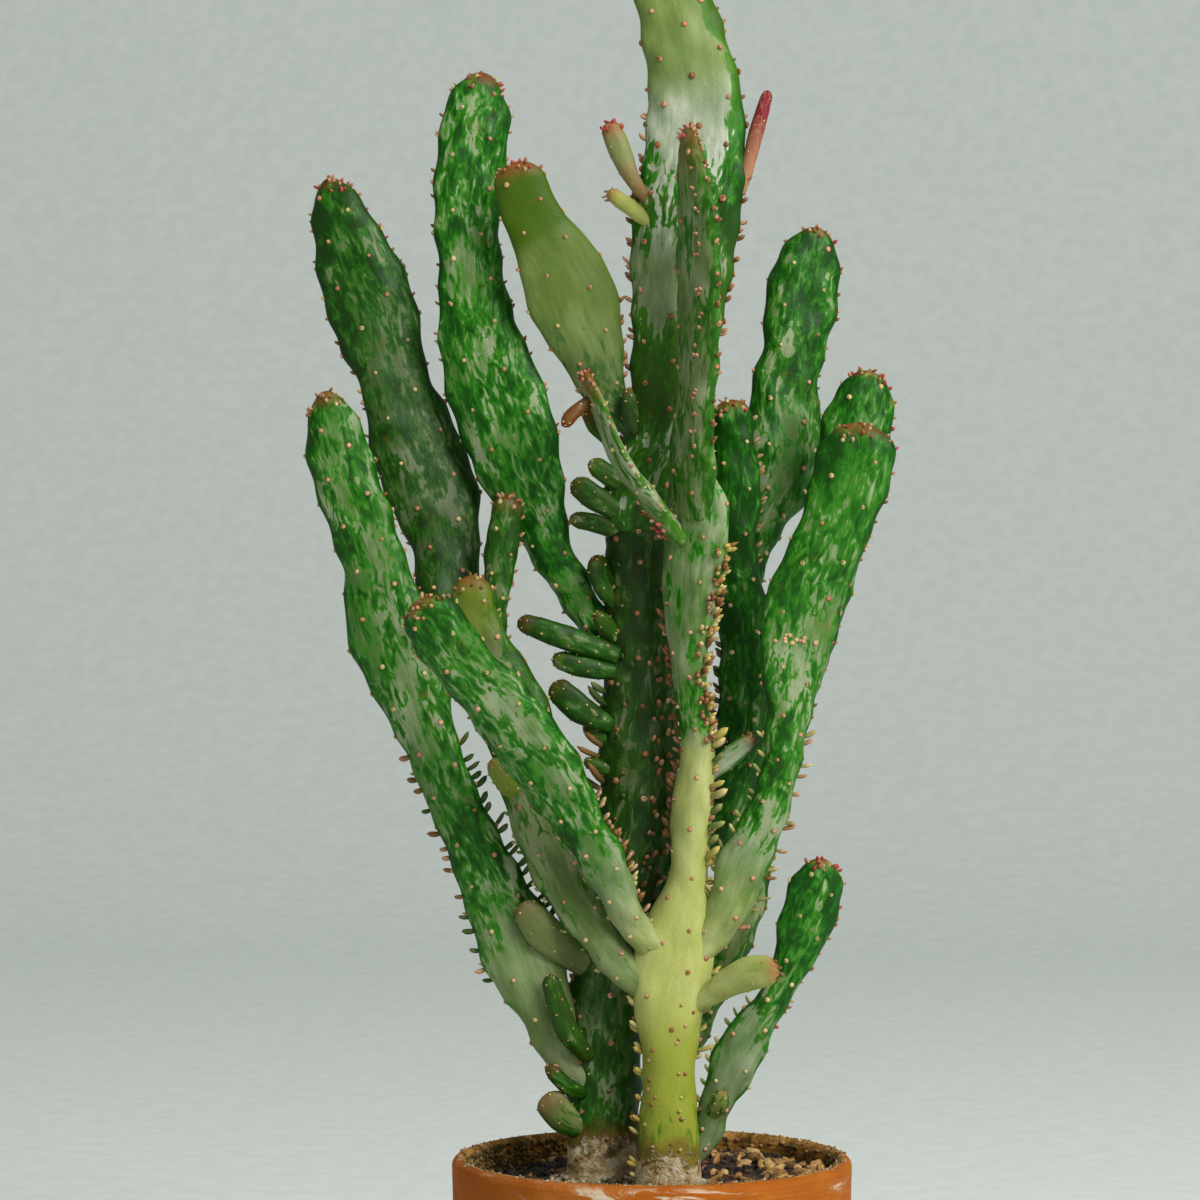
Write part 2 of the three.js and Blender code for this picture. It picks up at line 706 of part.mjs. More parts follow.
// The pad behind the right arm grows from the back of its lower pad.
function rightArmRearPad() {
  addStem('right_arm_rear_pad', GREEN, {
    growsFrom: ['right_arm'],
    tip: 11,
    stations: [
      [48, -20, 280, 3.6, 3.2, 10],
      [52.8, -11, 290, 4.4, 3.8, 10],
      [58.2, -5, 306, 5, 4.2, 6],
      [63, -2, 321, 5.6, 4.4, 0],
      [67, 1, 338, 6.6, 4.4, 0],
      [69.5, 3, 356, 9.4, 4.6, 0],
      [71, 4, 375, 12.2, 4.6, 0],
      [74, 5, 388, 11, 4.4, 0],
      [76, 6, 401, 8, 4, 0],
    ],
  });
}

// A small grey-green pad behind the foot of the right arm.
function lowGreyPad() {
  addStem('low_grey_pad', GREY_GREEN, {
    growsFrom: ['front_stem'],
    sides: 8,
    tip: 6,
    stations: [
      [8, -8, 158, 3.4, 3, 0],
      [14.5, 0, 166, 3.6, 3.2, 0],
      [20, 5, 180, 4.4, 3.6, 0],
      [25.5, 9, 192, 5.8, 4, 0],
      [30, 11, 206, 7.1, 4.2, 0],
      [34, 12, 218, 6.6, 4, 0],
      [37, 13, 229, 5.4, 3.4, 0],
    ],
  });
}

// The lowest pad on the right leaves the front stem just above the soil.
function lowRightPad() {
  addStem('low_right_pad', GREEN, {
    growsFrom: ['front_stem'],
    tip: 11,
    stations: [
      [10, -11, 124, 4, 3.6, 0],
      [18, -10, 134, 4.6, 3.8, 0],
      [22, -11, 145, 5.2, 4, 0],
      [28, -13, 159, 7.8, 4.4, 0],
      [32.5, -14, 169, 7.5, 4.4, 0],
      [41, -16, 181, 5.3, 4, 4],
      [47, -18, 193, 6.1, 4, 6],
      [52.5, -20.5, 208, 8.9, 4.4, 8],
      [56, -22.5, 220, 9, 4.2, 8],
      [58.5, -24, 231.5, 6.6, 3.6, 8],
    ],
    rows: [
      { angle: 180, from: 0.24, to: 0.42, spacing: 7, length: 3, radius: 1.1 },
    ],
    youngPads: [
      { stations: [[20, -12, 141, 2, 1.8, 0], [23, -16, 146, 2.8, 1.8, 0], [24, -18, 151, 2.2, 1.6, 0]] },
    ],
  });
}

// Two thin young leaves on the right of the yellow stem.
function youngLeaves() {
  addStem('cream_leaf', PALE_CREAM, {
    growsFrom: ['front_stem'],
    sides: 8,
    tip: 5,
    spacing: 6,
    boss: 0.4,
    stations: [
      [14, -14, 180, 2.8, 2, 0],
      [20, -17, 184, 3.8, 2.2, 0],
      [27, -22, 189, 5, 2.2, 0],
      [34, -26, 192.3, 5.8, 2.2, 0],
      [43, -30, 194, 4.6, 1.8, 0],
    ],
  });
  addStem('small_leaf', PALE_CREAM, {
    growsFrom: ['front_stem'],
    sides: 8,
    tip: 3,
    spacing: 5,
    boss: 0.3,
    stations: [
      [16, -12, 257, 1.8, 1.6, 0],
      [21, -13, 261, 2.6, 1.8, 0],
      [28, -14, 267, 3.4, 1.8, 0],
      [34.5, -15, 273, 2.2, 1.5, 0],
    ],
  });
}

// Long young buds at the tall pad's edges: a thin crimson one, a red-tipped one and a yellow one.
function longBuds() {
  const shape = { growsFrom: ['tall_pad'], sides: 8, tip: 3, spacing: 5, boss: 0.3 };
  addStem('long_red_bud', BUD_RED, {
    ...shape,
    stations: [
      [31, 6, 463, 1.8, 1.8, 0],
      [33.5, 6, 472, 2.1, 2, 0],
      [37, 6, 486, 2.4, 2.1, 0],
      [41, 6, 499.5, 1.7, 1.5, 0],
    ],
  });
  addStem('red_tipped_bud', PALE_CREAM, {
    ...shape,
    stations: [
      [-1, 8, 461, 2, 2, 0],
      [-6.5, 7, 468, 3.1, 2.4, 0],
      [-11.5, 7, 479, 3.9, 2.6, 0],
      [-15.2, 7, 488.5, 3.1, 2.1, 0],
    ],
  });
  addStem('yellow_bud', YELLOW_CREAM, {
    ...shape,
    stations: [[-1, 8, 453, 1.8, 1.8, 0], [-7, 7, 458, 2.6, 2.2, 0], [-15.5, 7, 464, 2.1, 1.9, 0]],
  });
}

// The pot is turned round its axis: a flat foot, a body that widens upwards, the collar with its
// step, a rounded lip, then the inside down to the floor.
function potSolid() {
  const rim = RIM_DIAMETER / 2;
  const foot = FOOT_DIAMETER / 2;
  const collarFoot = POT_HEIGHT - COLLAR_HEIGHT;
  const profile = [
    [0, 0],
    [foot - FOOT_ROUNDING, 0],
    [foot, FOOT_ROUNDING],
    [rim - COLLAR_STEP, collarFoot],
    [rim - COLLAR_ROUNDING * 2 / 3, collarFoot + COLLAR_ROUNDING / 4],
    [rim - COLLAR_ROUNDING / 4, collarFoot + COLLAR_ROUNDING],
    [rim, POT_HEIGHT - LIP_ROUNDING * 2 / 3],
    [rim - LIP_ROUNDING / 2, POT_HEIGHT - LIP_ROUNDING / 8],
    [rim - LIP_ROUNDING, POT_HEIGHT],
    [rim - POT_WALL + LIP_ROUNDING / 3, POT_HEIGHT - LIP_ROUNDING / 4],
    [rim - POT_WALL, POT_HEIGHT - LIP_ROUNDING],
    [rim - POT_WALL, collarFoot + SHOULDER_HIGH],
    [rim - POT_WALL - SHOULDER_WIDTH, collarFoot + SHOULDER_LOW],
    [foot - POT_WALL + GAP * 3, FLOOR_THICKNESS],
    [0, FLOOR_THICKNESS],
  ];
  const geometry = new THREE.LatheGeometry(profile.map(([r, z]) => new THREE.Vector2(r, z)), ROUND_SIDES);
  geometry.rotateX(Math.PI / 2);
  return solidOf(geometry);
}

function pot() {
  let solid = potSolid();
  for (let i = 0; i < DRAIN_HOLE_COUNT; i += 1) {
    const angle = 2 * Math.PI * i / DRAIN_HOLE_COUNT;
    const hole = new THREE.CylinderGeometry(
      DRAIN_HOLE_RADIUS, DRAIN_HOLE_RADIUS, 3 * FLOOR_THICKNESS, DRAIN_HOLE_SIDES,
    );
    hole.rotateX(Math.PI / 2);
    hole.translate(DRAIN_CIRCLE_RADIUS * Math.sin(angle), DRAIN_CIRCLE_RADIUS * Math.cos(angle), 0);
    solid = solid.subtract(solidOf(hole));
  }
  plant.add(meshOf('pot', solid, TERRACOTTA, CLAY_ROUGHNESS));
}

// The soil's surface: a gentle slope with long waves and crumbs on it.
function soilHeight(x, y) {
  const long = Math.sin(LONG_WAVE[0] * x + LONG_WAVE_START) * Math.cos(LONG_WAVE[1] * y);
  const cross = CROSS_WAVE_SHARE * Math.sin(CROSS_WAVE[0] * x + CROSS_WAVE[1] * y);
  return SOIL_HEIGHT + SOIL_SLOPE * (x + y) + CRUMB_HEIGHT * (long + cross + random() - 0.5);
}

// The soil fills the pot from its floor up: rings round the axis up the inner wall, then inwards
// over its rough surface.
function soilGeometry() {
  const inner = RIM_DIAMETER / 2 - POT_WALL - GAP;
  const collarFoot = POT_HEIGHT - COLLAR_HEIGHT;
  const bottom = FLOOR_THICKNESS + GAP;
  const wall = [
    [FOOT_DIAMETER / 2 - POT_WALL, bottom],
    [inner - SHOULDER_WIDTH, collarFoot + SHOULDER_LOW],
    [inner, collarFoot + SHOULDER_HIGH + 2 * GAP],
  ];
  const topRadii = [inner, ...SOIL_RING_RADII];
  const positions = [];
  const corners = [];
  const addRing = (radius, height) => {
    for (let side = 0; side < ROUND_SIDES; side += 1) {
      const angle = 2 * Math.PI * side / ROUND_SIDES;
      const x = radius * Math.sin(angle);
      const y = -radius * Math.cos(angle);
      positions.push(x, y, height ?? soilHeight(x, y));
    }
  };
  wall.forEach(([radius, height]) => addRing(radius, height));
  topRadii.forEach((radius) => addRing(radius));
  const rings = wall.length + topRadii.length;
  for (let ring = 0; ring < rings - 1; ring += 1) {
    for (let side = 0; side < ROUND_SIDES; side += 1) {
      const a = ring * ROUND_SIDES + side;
      const b = ring * ROUND_SIDES + (side + 1) % ROUND_SIDES;
      corners.push(a, b, b + ROUND_SIDES, a, b + ROUND_SIDES, a + ROUND_SIDES);
    }
  }
  const lowest = positions.length / 3;
  positions.push(0, 0, bottom, 0, 0, soilHeight(0, 0));
  const lastRing = (rings - 1) * ROUND_SIDES;
  for (let side = 0; side < ROUND_SIDES; side += 1) {
    const next = (side + 1) % ROUND_SIDES;
    corners.push(lowest, next, side);
    corners.push(lastRing + side, lastRing + next, lowest + 1);
  }
  return indexed(positions, corners);
}

// Bark chips and small stones lie half sunk in the soil, most of them right of the stems.
function chip() {
  const radius = randomBetween(CHIP_DISTANCES);
  const angle = THREE.MathUtils.degToRad(randomBetween(CHIP_DIRECTIONS));
  const size = randomBetween(CHIP_SIZES);
  const geometry = new THREE.BoxGeometry(...CHIP_SHAPE.map((side) => side * size));
  geometry.rotateX(randomBetween(CHIP_TILTS));
  geometry.rotateY(randomBetween(CHIP_TILTS));
  geometry.rotateZ(randomBetween([0, Math.PI]));
  const x = radius * Math.cos(angle);
  const y = radius * Math.sin(angle);
  geometry.translate(x, y, SOIL_HEIGHT + SOIL_SLOPE * (x + y) + CHIP_LIFT * size);
  return solidOf(geometry);
}

function soil() {
  let solid = solidOf(soilGeometry());
  for (let i = 0; i < CHIP_COUNT; i += 1) {
    solid = solid.add(chip());
  }
  solid = solid.subtract(grownStems.back_trunk).subtract(grownStems.front_stem);
  plant.add(meshOf('soil', largestBody(solid), SOIL_BROWN, SOIL_ROUGHNESS));
}

backTrunk();
tallPad();
frontStem();
upperFin();
leftArm();
leftRearPads();
tallLeftPad();
creamPad();
edgeOnPad();
frontLeftPad();
longLeftPad();
innerLeftPad();
rightColumn();
rightRearPad();
rightArm();
rightArmRearPad();
lowGreyPad();
lowRightPad();
youngLeaves();
longBuds();
pot();
soil();

export default plant;
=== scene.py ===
import bpy
import numpy as np
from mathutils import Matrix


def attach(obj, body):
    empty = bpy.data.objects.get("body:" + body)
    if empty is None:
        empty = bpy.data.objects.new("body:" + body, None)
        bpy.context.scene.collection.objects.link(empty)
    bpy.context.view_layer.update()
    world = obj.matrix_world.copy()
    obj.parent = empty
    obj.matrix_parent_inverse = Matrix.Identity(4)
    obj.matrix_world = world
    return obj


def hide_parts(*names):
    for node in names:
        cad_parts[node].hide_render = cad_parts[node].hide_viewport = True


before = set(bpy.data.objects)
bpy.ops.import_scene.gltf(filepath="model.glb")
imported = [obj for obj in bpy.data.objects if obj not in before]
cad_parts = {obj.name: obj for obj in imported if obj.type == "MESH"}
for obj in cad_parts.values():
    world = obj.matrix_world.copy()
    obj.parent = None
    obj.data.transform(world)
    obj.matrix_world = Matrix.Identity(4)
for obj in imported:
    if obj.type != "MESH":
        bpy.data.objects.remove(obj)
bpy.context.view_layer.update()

# The pot is thrown from red clay and fired without a glaze: a flat foot with three drain holes, a
# body that widens upwards, and a thick collar under a rounded lip. Lime from the water has dried
# on the collar in pale runs, and soil and moss have stained the inside of the rim.
MILLIMETRE = 0.001
RIM_RADIUS = 70
POT_HEIGHT = 126
COLLAR_FOOT = 95
FOOT_RADIUS = 46
POT_FLOOR = 8
POT_PROFILE = [
    (0, 0), (20, 0), (34, 0), (FOOT_RADIUS - 1.5, 0), (FOOT_RADIUS, 1.5), (48.8, 15), (53.7, 42),
    (59, 70), (63.2, 91), (64.4, COLLAR_FOOT), (68.4, COLLAR_FOOT + 0.6), (69.4, COLLAR_FOOT + 2.4),
    (69.6, 105), (69.8, 115), (RIM_RADIUS, 122), (RIM_RADIUS, POT_HEIGHT - 2),
    (68.6, POT_HEIGHT - 0.4), (67, POT_HEIGHT), (65.5, POT_HEIGHT - 0.8), (64.5, POT_HEIGHT - 3),
    (64.5, 115), (64.5, 103), (60, 91), (55, 70), (49.3, 42), (44.2, 18), (41.4, POT_FLOOR),
    (34, POT_FLOOR), (20, POT_FLOOR), (0, POT_FLOOR),
]
POT_SIDES = 168
DRAIN_HOLES = 3
DRAIN_HOLE_RADIUS = 5.5
DRAIN_CIRCLE_RADIUS = 22
DRILL_SIDES = 32


def closed_skin(grid, first_pole, last_pole):
    """A grid of rings as a closed mesh: four-cornered faces between neighbouring rings, and a fan
    of triangles from each end ring to its pole."""
    rings, sides = grid.shape[:2]
    corner = np.arange(rings * sides).reshape(rings, sides)
    beside = np.roll(corner, -1, axis=1)
    quads = np.stack([corner[:-1], beside[:-1], beside[1:], corner[1:]], axis=-1).reshape(-1, 4)
    first = np.full(sides, rings * sides)
    low = np.stack([first, beside[0], corner[0]], axis=-1)
    high = np.stack([corner[-1], beside[-1], first + 1], axis=-1)
    points = np.vstack([grid.reshape(-1, 3), first_pole, last_pole])
    return {"points": points, "quads": quads, "triangles": np.vstack([low, high])}


ATTRIBUTES = {
    "flow": 3, "tint": 4, "pale": 1, "warm": 1, "calm": 1, "age": 1, "blush": 1, "fleck": 1,
    "cork": 1, "inside": 1,
}
ATTRIBUTE_KINDS = {
    1: ("FLOAT", "value"), 3: ("FLOAT_VECTOR", "vector"), 4: ("FLOAT_COLOR", "color"),
}


def make_mesh(name, shapes, materials):
    """Several closed skins as one mesh: their points in a row, each one's corners counted on from
    the last one's, each attribute zero where a skin doesn't give it, and each skin in the material
    that its finish counts to."""
    quads, triangles, finishes = [], [], []
    start = 0
    for shape in shapes:
        quads.append(shape["quads"] + start)
        triangles.append(shape["triangles"] + start)
        start += len(shape["points"])
    mesh = bpy.data.meshes.new(name)
    points = np.vstack([shape["points"] for shape in shapes]) * MILLIMETRE
    mesh.from_pydata(points.tolist(), [], np.vstack(quads).tolist() + np.vstack(triangles).tolist())
    for corners in ("quads", "triangles"):
        for shape in shapes:
            finishes.append(np.full(len(shape[corners]), shape.get("finish", 0)))
    mesh.polygons.foreach_set("material_index", np.concatenate(finishes))
    for attribute, width in ATTRIBUTES.items():
        if any(attribute in shape for shape in shapes):
            kind, field = ATTRIBUTE_KINDS[width]
            values = [
                np.ravel(shape.get(attribute, np.zeros(width * len(shape["points"]))))
                for shape in shapes
            ]
            made = mesh.attributes.new(attribute, kind, "POINT")
            made.data.foreach_set(field, np.concatenate(values).astype(np.float32))
    for material in materials:
        mesh.materials.append(material)
    mesh.shade_smooth()
    mesh.update()
    return mesh


def put_in_scene(name, content):
    """An object of that mesh, light or camera."""
    made = bpy.data.objects.new(name, content)
    bpy.context.scene.collection.objects.link(made)
    return made


def make_piece(name, shapes, materials, slot, *nodes):
    """A piece of the object from its skins: it rides on the one body and stands for CAD nodes."""
    piece = put_in_scene(name, make_mesh(name, shapes, materials))
    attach(piece, "root")
    if nodes:
        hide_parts(*nodes)
    return piece


def turned(profile, sides, wobble):
    """A profile of (radius, height) carried round the upright axis, each radius made larger or
    smaller by slow waves round the axis, as a hand-thrown wall is."""
    radius, height = np.array(profile, float).T
    angle = np.linspace(0, 2 * np.pi, sides, endpoint=False)
    wave = np.sin(2 * angle + 0.7) + 0.5 * np.sin(3 * angle + 2 + height[:, None] / 30)
    reach = radius[:, None] + wobble * wave * (radius[:, None] > 30)
    level = np.broadcast_to(height[:, None], reach.shape)
    return np.stack([reach * np.sin(angle), -reach * np.cos(angle), level], axis=-1)


def rounded(profile, times):
    """A profile with its corners cut: each corner gives way to two points, a quarter and three
    quarters along the lines beside it."""
    line = np.array(profile, float)
    for _ in range(times):
        near = 0.75 * line[:-1] + 0.25 * line[1:]
        far = 0.25 * line[:-1] + 0.75 * line[1:]
        middle = np.stack([near, far], axis=1).reshape(-1, 2)
        line = np.vstack([line[:1], middle[1:-1], line[-1:]])
    return line


def paint(red, green, blue):
    """A colour as an eye names it, 0 to 255, turned into the light that a surface gives back."""
    share = np.array([red, green, blue]) / 255
    light = np.where(share <= 0.04045, share / 12.92, ((share + 0.055) / 1.055) ** 2.4)
    return (*light.tolist(), 1.0)


class Wire:
    """What leaves a shader node. It is reckoned with as a number is, and each sign makes a node."""

    def __init__(self, socket):
        self.socket = socket

    def sign(self, operation, first, second):
        """One math node of that operation on two values."""
        return add_node("ShaderNodeMath", {0: first, 1: second}, operation=operation)

    def __add__(self, other):
        return self.sign("ADD", self, other)

    def __sub__(self, other):
        return self.sign("SUBTRACT", self, other)

    def __rsub__(self, other):
        return self.sign("SUBTRACT", other, self)

    def __mul__(self, other):
        return self.sign("MULTIPLY", self, other)

    def __abs__(self):
        return self.sign("ABSOLUTE", self, 0)


def add_node(kind, inputs, output=0, tree=None, **settings):
    """A shader node, and the wire that leaves it. Each of its inputs gets a number, a colour or a
    wire, and it is put in the tree where those wires are, or else in the one that is named."""
    for value in inputs.values():
        if isinstance(value, Wire):
            tree = value.socket.id_data
    made = tree.nodes.new(kind)
    for name, value in settings.items():
        setattr(made, name, value)
    for name, value in inputs.items():
        if isinstance(value, Wire):
            tree.links.new(value.socket, made.inputs[name])
        else:
            made.inputs[name].default_value = value
    return Wire(made.outputs[output])


def mixed(share, first, second):
    """Two colours mixed by a share: 0 gives the first, 1 the second."""
    return add_node("ShaderNodeMix", {0: share, 6: first, 7: second}, output=2, data_type="RGBA")


def eased(value, low, high):
    """0 below low, 1 above high and a smooth step between."""
    return add_node(
        "ShaderNodeMapRange", {"Value": value, "From Min": low, "From Max": high},
        interpolation_type="SMOOTHSTEP",
    )


def noise(vector, scale, detail=3.0, roughness=0.55, distortion=0.0):
    """Cloudy noise from 0 to 1, with scale waves to a unit of the vector."""
    return add_node("ShaderNodeTexNoise", {
        "Vector": vector, "Scale": scale, "Detail": detail, "Roughness": roughness,
        "Distortion": distortion,
    })


def stretched(vector, lengthwise):
    """A place with its third part scaled, which draws a pattern out or presses it together."""
    return add_node("ShaderNodeMapping", {"Vector": vector, "Scale": (1, 1, lengthwise)})


def shades(value, stops):
    """A value turned into a colour by stops of (value, red, green, blue)."""
    made = add_node("ShaderNodeValToRGB", {"Fac": value})
    elements = made.socket.node.color_ramp.elements
    for place, *colour in stops[1:-1]:
        elements.new(place).color = paint(*colour)
    for element, (place, *colour) in ((elements[0], stops[0]), (elements[-1], stops[-1])):
        element.position = place
        element.color = paint(*colour)
    return made


def attribute(tree, name, output="Fac"):
    """A value, a colour or a direction that the mesh carries at its points."""
    return add_node("ShaderNodeAttribute", {}, output, tree, attribute_name=name)


def new_material(name):
    """An empty material, its tree of nodes, and the place of each point in the object's space."""
    material = bpy.data.materials.new(name)
    material.use_nodes = True
    tree = material.node_tree
    tree.nodes.clear()
    return material, tree, add_node("ShaderNodeTexCoord", {}, "Object", tree)


def finish(tree, colour, roughness, height, depth, shine=0.5):
    """Puts the surface together: its colour, its roughness, a bump of that height map and how
    strongly it shines."""
    bump = add_node("ShaderNodeBump", {"Height": height, "Distance": depth, "Strength": 1.0})
    surface = add_node("ShaderNodeBsdfPrincipled", {
        "Base Color": colour, "Roughness": roughness, "Normal": bump, "Specular IOR Level": shine,
    })
    output = tree.nodes.new("ShaderNodeOutputMaterial")
    tree.links.new(surface.socket, output.inputs["Surface"])


# Heights on the collar where the lime starts, is full, begins to fade and ends, and distances from
# the middle of the front where there is no more of it and where it is thickest, in metres.
LIME_HEIGHTS = (0.1175, 0.1215, 0.1232, 0.1256)
LIME_FRONT = (0.034, 0.012)


def fired_clay():
    """Red clay: slow patches of lighter and darker red, fine grit, faint rings from the throwing,
    runs of lime below the lip and brown stains where the attribute says that it is inside."""
    material, tree, place = new_material("fired_clay")
    height = add_node("ShaderNodeSeparateXYZ", {"Vector": place}, output="Z")
    aside = add_node("ShaderNodeSeparateXYZ", {"Vector": place}, output="X")
    patches = noise(place, 38, detail=4, distortion=0.6)
    grit = noise(place, 900, detail=2)
    runs = noise(stretched(place, 4.5), 34, detail=5, roughness=0.65, distortion=0.8)
    stain = noise(place, 120, detail=5, roughness=0.7)
    rings = add_node(
        "ShaderNodeTexWave", {"Vector": place, "Scale": 190, "Distortion": 1.5, "Detail": 2},
        output="Fac", bands_direction="Z",
    )
    clay = shades(patches, [(0.3, 148, 76, 12), (0.5, 161, 88, 18), (0.7, 173, 102, 32)])
    clay = mixed(eased(grit, 0.6, 0.75), clay, paint(150, 78, 40))
    wash = eased(height, 0.101, 0.12) * eased(runs, 0.5, 0.8)
    clay = mixed(wash * 0.22, clay, paint(206, 178, 148))
    low, full, fading, high = LIME_HEIGHTS
    band = eased(height, low, full) * eased(height, high, fading)
    front = eased(abs(aside), *LIME_FRONT) * 0.17
    lime = band * eased(runs + front, 0.6, 0.7)
    clay = mixed(lime * 0.85, clay, paint(208, 194, 168))
    crust = shades(stain, [(0.36, 60, 46, 16), (0.48, 128, 90, 36), (0.6, 176, 128, 64)])
    reach = eased(attribute(tree, "inside") + stain * 0.8, 0.75, 1.05)
    relief = rings * 0.25 + grit + stain * (reach * 2.5)
    finish(tree, mixed(reach, clay, crust), 0.85, relief, 0.0003, shine=0.15)
    return material


profile = rounded(POT_PROFILE, 2)
pot_grid = turned(profile[1:-1], POT_SIDES, 0.22)
pot_skin = closed_skin(pot_grid, [0, 0, 0], [0, 0, POT_FLOOR])
past_crown = np.arange(len(profile) - 2) - np.argmax(profile[1:-1, 1])
dirty = np.interp(past_crown, [-5, -2, 0, 1], [0, 0.5, 0.62, 1])
pot_skin["inside"] = np.concatenate([np.repeat(dirty, POT_SIDES), [0, 1]])
pot = make_piece("clay_pot", [pot_skin], [fired_clay()], "terracotta", "pot")


def drill(piece, x, y, radius, height):
    """A round hole straight down through a piece: a cylinder taken out of it by a boolean."""
    angle = np.linspace(0, 2 * np.pi, DRILL_SIDES, endpoint=False)
    grid = np.empty((2, DRILL_SIDES, 3))
    grid[..., 0] = x + radius * np.cos(angle)
    grid[..., 1] = y + radius * np.sin(angle)
    grid[..., 2] = [[-height], [height]]
    cylinder = closed_skin(grid, [x, y, -height], [x, y, height])
    bit = put_in_scene("bit", make_mesh("bit", [cylinder], []))
    cut = piece.modifiers.new("hole", "BOOLEAN")
    cut.object = bit
    cut.operation = "DIFFERENCE"
    bpy.context.view_layer.update()
    drilled = piece.evaluated_get(bpy.context.evaluated_depsgraph_get())
    mesh = bpy.data.meshes.new_from_object(drilled)
    piece.modifiers.clear()
    piece.data = mesh
    bpy.data.objects.remove(bit)


for hole in range(DRAIN_HOLES):
    angle = 2 * np.pi * hole / DRAIN_HOLES
    drill(
        pot, DRAIN_CIRCLE_RADIUS * np.sin(angle), DRAIN_CIRCLE_RADIUS * np.cos(angle),
        DRAIN_HOLE_RADIUS, 2 * POT_FLOOR,
    )

# The soil is a loose mix of peat and bark that has sunk a little below the rim. Dark crumbs cover
# it, pale grit lies round the stems, and bark chips and small stones lie on it to the right.
SOIL_HEIGHT = 116.5
SOIL_SLOPE = 0.028
SOIL_RADIUS = 64.2
SOIL_FLOOR = 8.3
SOIL_SIDES = 150
TRUNK_FOOT = (-17, 9, 13.5, 9.5)
FRONT_FOOT = (5.5, -13, 12, 9)


def soil_level(x, y):
    """The soil's height: a slight slope to the right and the back, and long low waves."""
    waves = np.sin(0.11 * x + 1.2) * np.cos(0.09 * y) + 0.6 * np.sin(0.21 * y - 0.17 * x)
    fine = np.sin(0.9 * x + 0.4 * y) * np.sin(1.1 * y - 0.3 * x)
    return SOIL_HEIGHT + SOIL_SLOPE * (x + y) + 0.9 * waves + 0.25 * fine


def soil_skin():
    """A turned block: up the pot's inner wall, then inwards over the surface in even rings whose
    heights follow the soil's level with a little seeded roughness."""
    wall = [
        (20, SOIL_FLOOR), (40.5, SOIL_FLOOR), (49, 42), (54.6, 70), (59.4, 91), (64, 103.5),
        (SOIL_RADIUS, 110),
    ]
    reach = np.concatenate([[SOIL_RADIUS], np.linspace(63.2, 1.5, 46)])
    grid = turned(wall + [(radius, SOIL_HEIGHT) for radius in reach], SOIL_SIDES, 0)
    top = grid[len(wall):]
    rough = np.random.default_rng(5).normal(0, 0.28, top.shape[:2])
    top[..., 2] = soil_level(top[..., 0], top[..., 1]) + rough
    return closed_skin(grid, [0, 0, SOIL_FLOOR], [0, 0, soil_level(0.0, 0.0)])


def grains(middles, sizes, tints, seed, rings=4, sides=6):
    """Rough lumps: small balls of rings and sides, each radius changed at random, squeezed by the
    three sizes along three random directions at right angles, and moved to their middles."""
    random = np.random.default_rng(seed)
    count = len(middles)
    up = np.pi * np.arange(1, rings + 1) / (rings + 1)
    about = np.linspace(0, 2 * np.pi, sides, endpoint=False)
    ball = np.stack([
        np.sin(up)[:, None] * np.cos(about), np.sin(up)[:, None] * np.sin(about),
        -np.cos(up)[:, None] * np.ones(sides),
    ], axis=-1)
    ball = ball * random.uniform(0.72, 1.2, (count, rings, sides, 1))
    first = random.normal(size=(count, 3)) * (1, 1, 0.35)
    first /= np.linalg.norm(first, axis=1, keepdims=True)
    second = np.cross(first, random.normal(size=(count, 3)))
    second /= np.linalg.norm(second, axis=1, keepdims=True)
    axes = np.stack([first, second, np.cross(first, second)], axis=1) * sizes[:, :, None]
    grid = np.einsum("krsa,kab->krsb", ball, axes) + middles[:, None, None]
    ends = np.stack([middles - axes[:, 2], middles + axes[:, 2]], axis=1)
    return many(grid, ends, np.broadcast_to(tints[:, None], (count, rings * sides + 2, 4)))


def many(grids, poles, tints):
    """Many small skins of one pattern as one: the pattern's corners, counted on for each."""
    count, rings, sides = grids.shape[:3]
    pattern = closed_skin(grids[0], poles[0, 0], poles[0, 1])
    size = rings * sides + 2
    start = size * np.arange(count)[:, None, None]
    points = np.concatenate([grids.reshape(count, -1, 3), poles], axis=1).reshape(-1, 3)
    return {
        "points": points,
        "quads": (pattern["quads"] + start).reshape(-1, 4),
        "triangles": (pattern["triangles"] + start).reshape(-1, 3),
        "tint": tints.reshape(-1, 4),
    }


def inside_foot(x, y, foot):
    """True where a point lies in a stem's oval foot."""
    return ((x - foot[0]) / foot[2]) ** 2 + ((y - foot[1]) / foot[3]) ** 2 < 1


def pick_tints(random, count, colours):
    """A colour for each of many lumps, picked at random and made a little lighter or darker."""
    painted = np.array([paint(*colour) for colour in colours])
    chosen = painted[random.integers(0, len(colours), count)]
    chosen[:, :3] *= random.uniform(0.83, 1.17, (count, 1))
    return chosen


def strewn(
    random, count, reach, sizes, lift, colours, seed, shape=(1, 1, 1), directions=(0, 2 * np.pi),
    **grain,
):
    """Lumps strewn over a ring on the soil, clear of both stems' feet: as many at each distance as
    there is room for, by the square root of even random numbers."""
    radius = reach[0] + (reach[1] - reach[0]) * np.sqrt(random.uniform(0, 1, count))
    angle = random.uniform(*directions, count)
    x, y = radius * np.cos(angle), radius * np.sin(angle)
    free = ~(inside_foot(x, y, TRUNK_FOOT) | inside_foot(x, y, FRONT_FOOT))
    size = random.uniform(*sizes, (count, 1)) * random.uniform(0.6, 1.4, (count, 3)) * shape
    middles = np.stack([x, y, soil_level(x, y) + lift * size.min(axis=1)], axis=-1)
    tints = pick_tints(random, count, colours)
    return grains(middles[free], size[free], tints[free], seed, **grain)


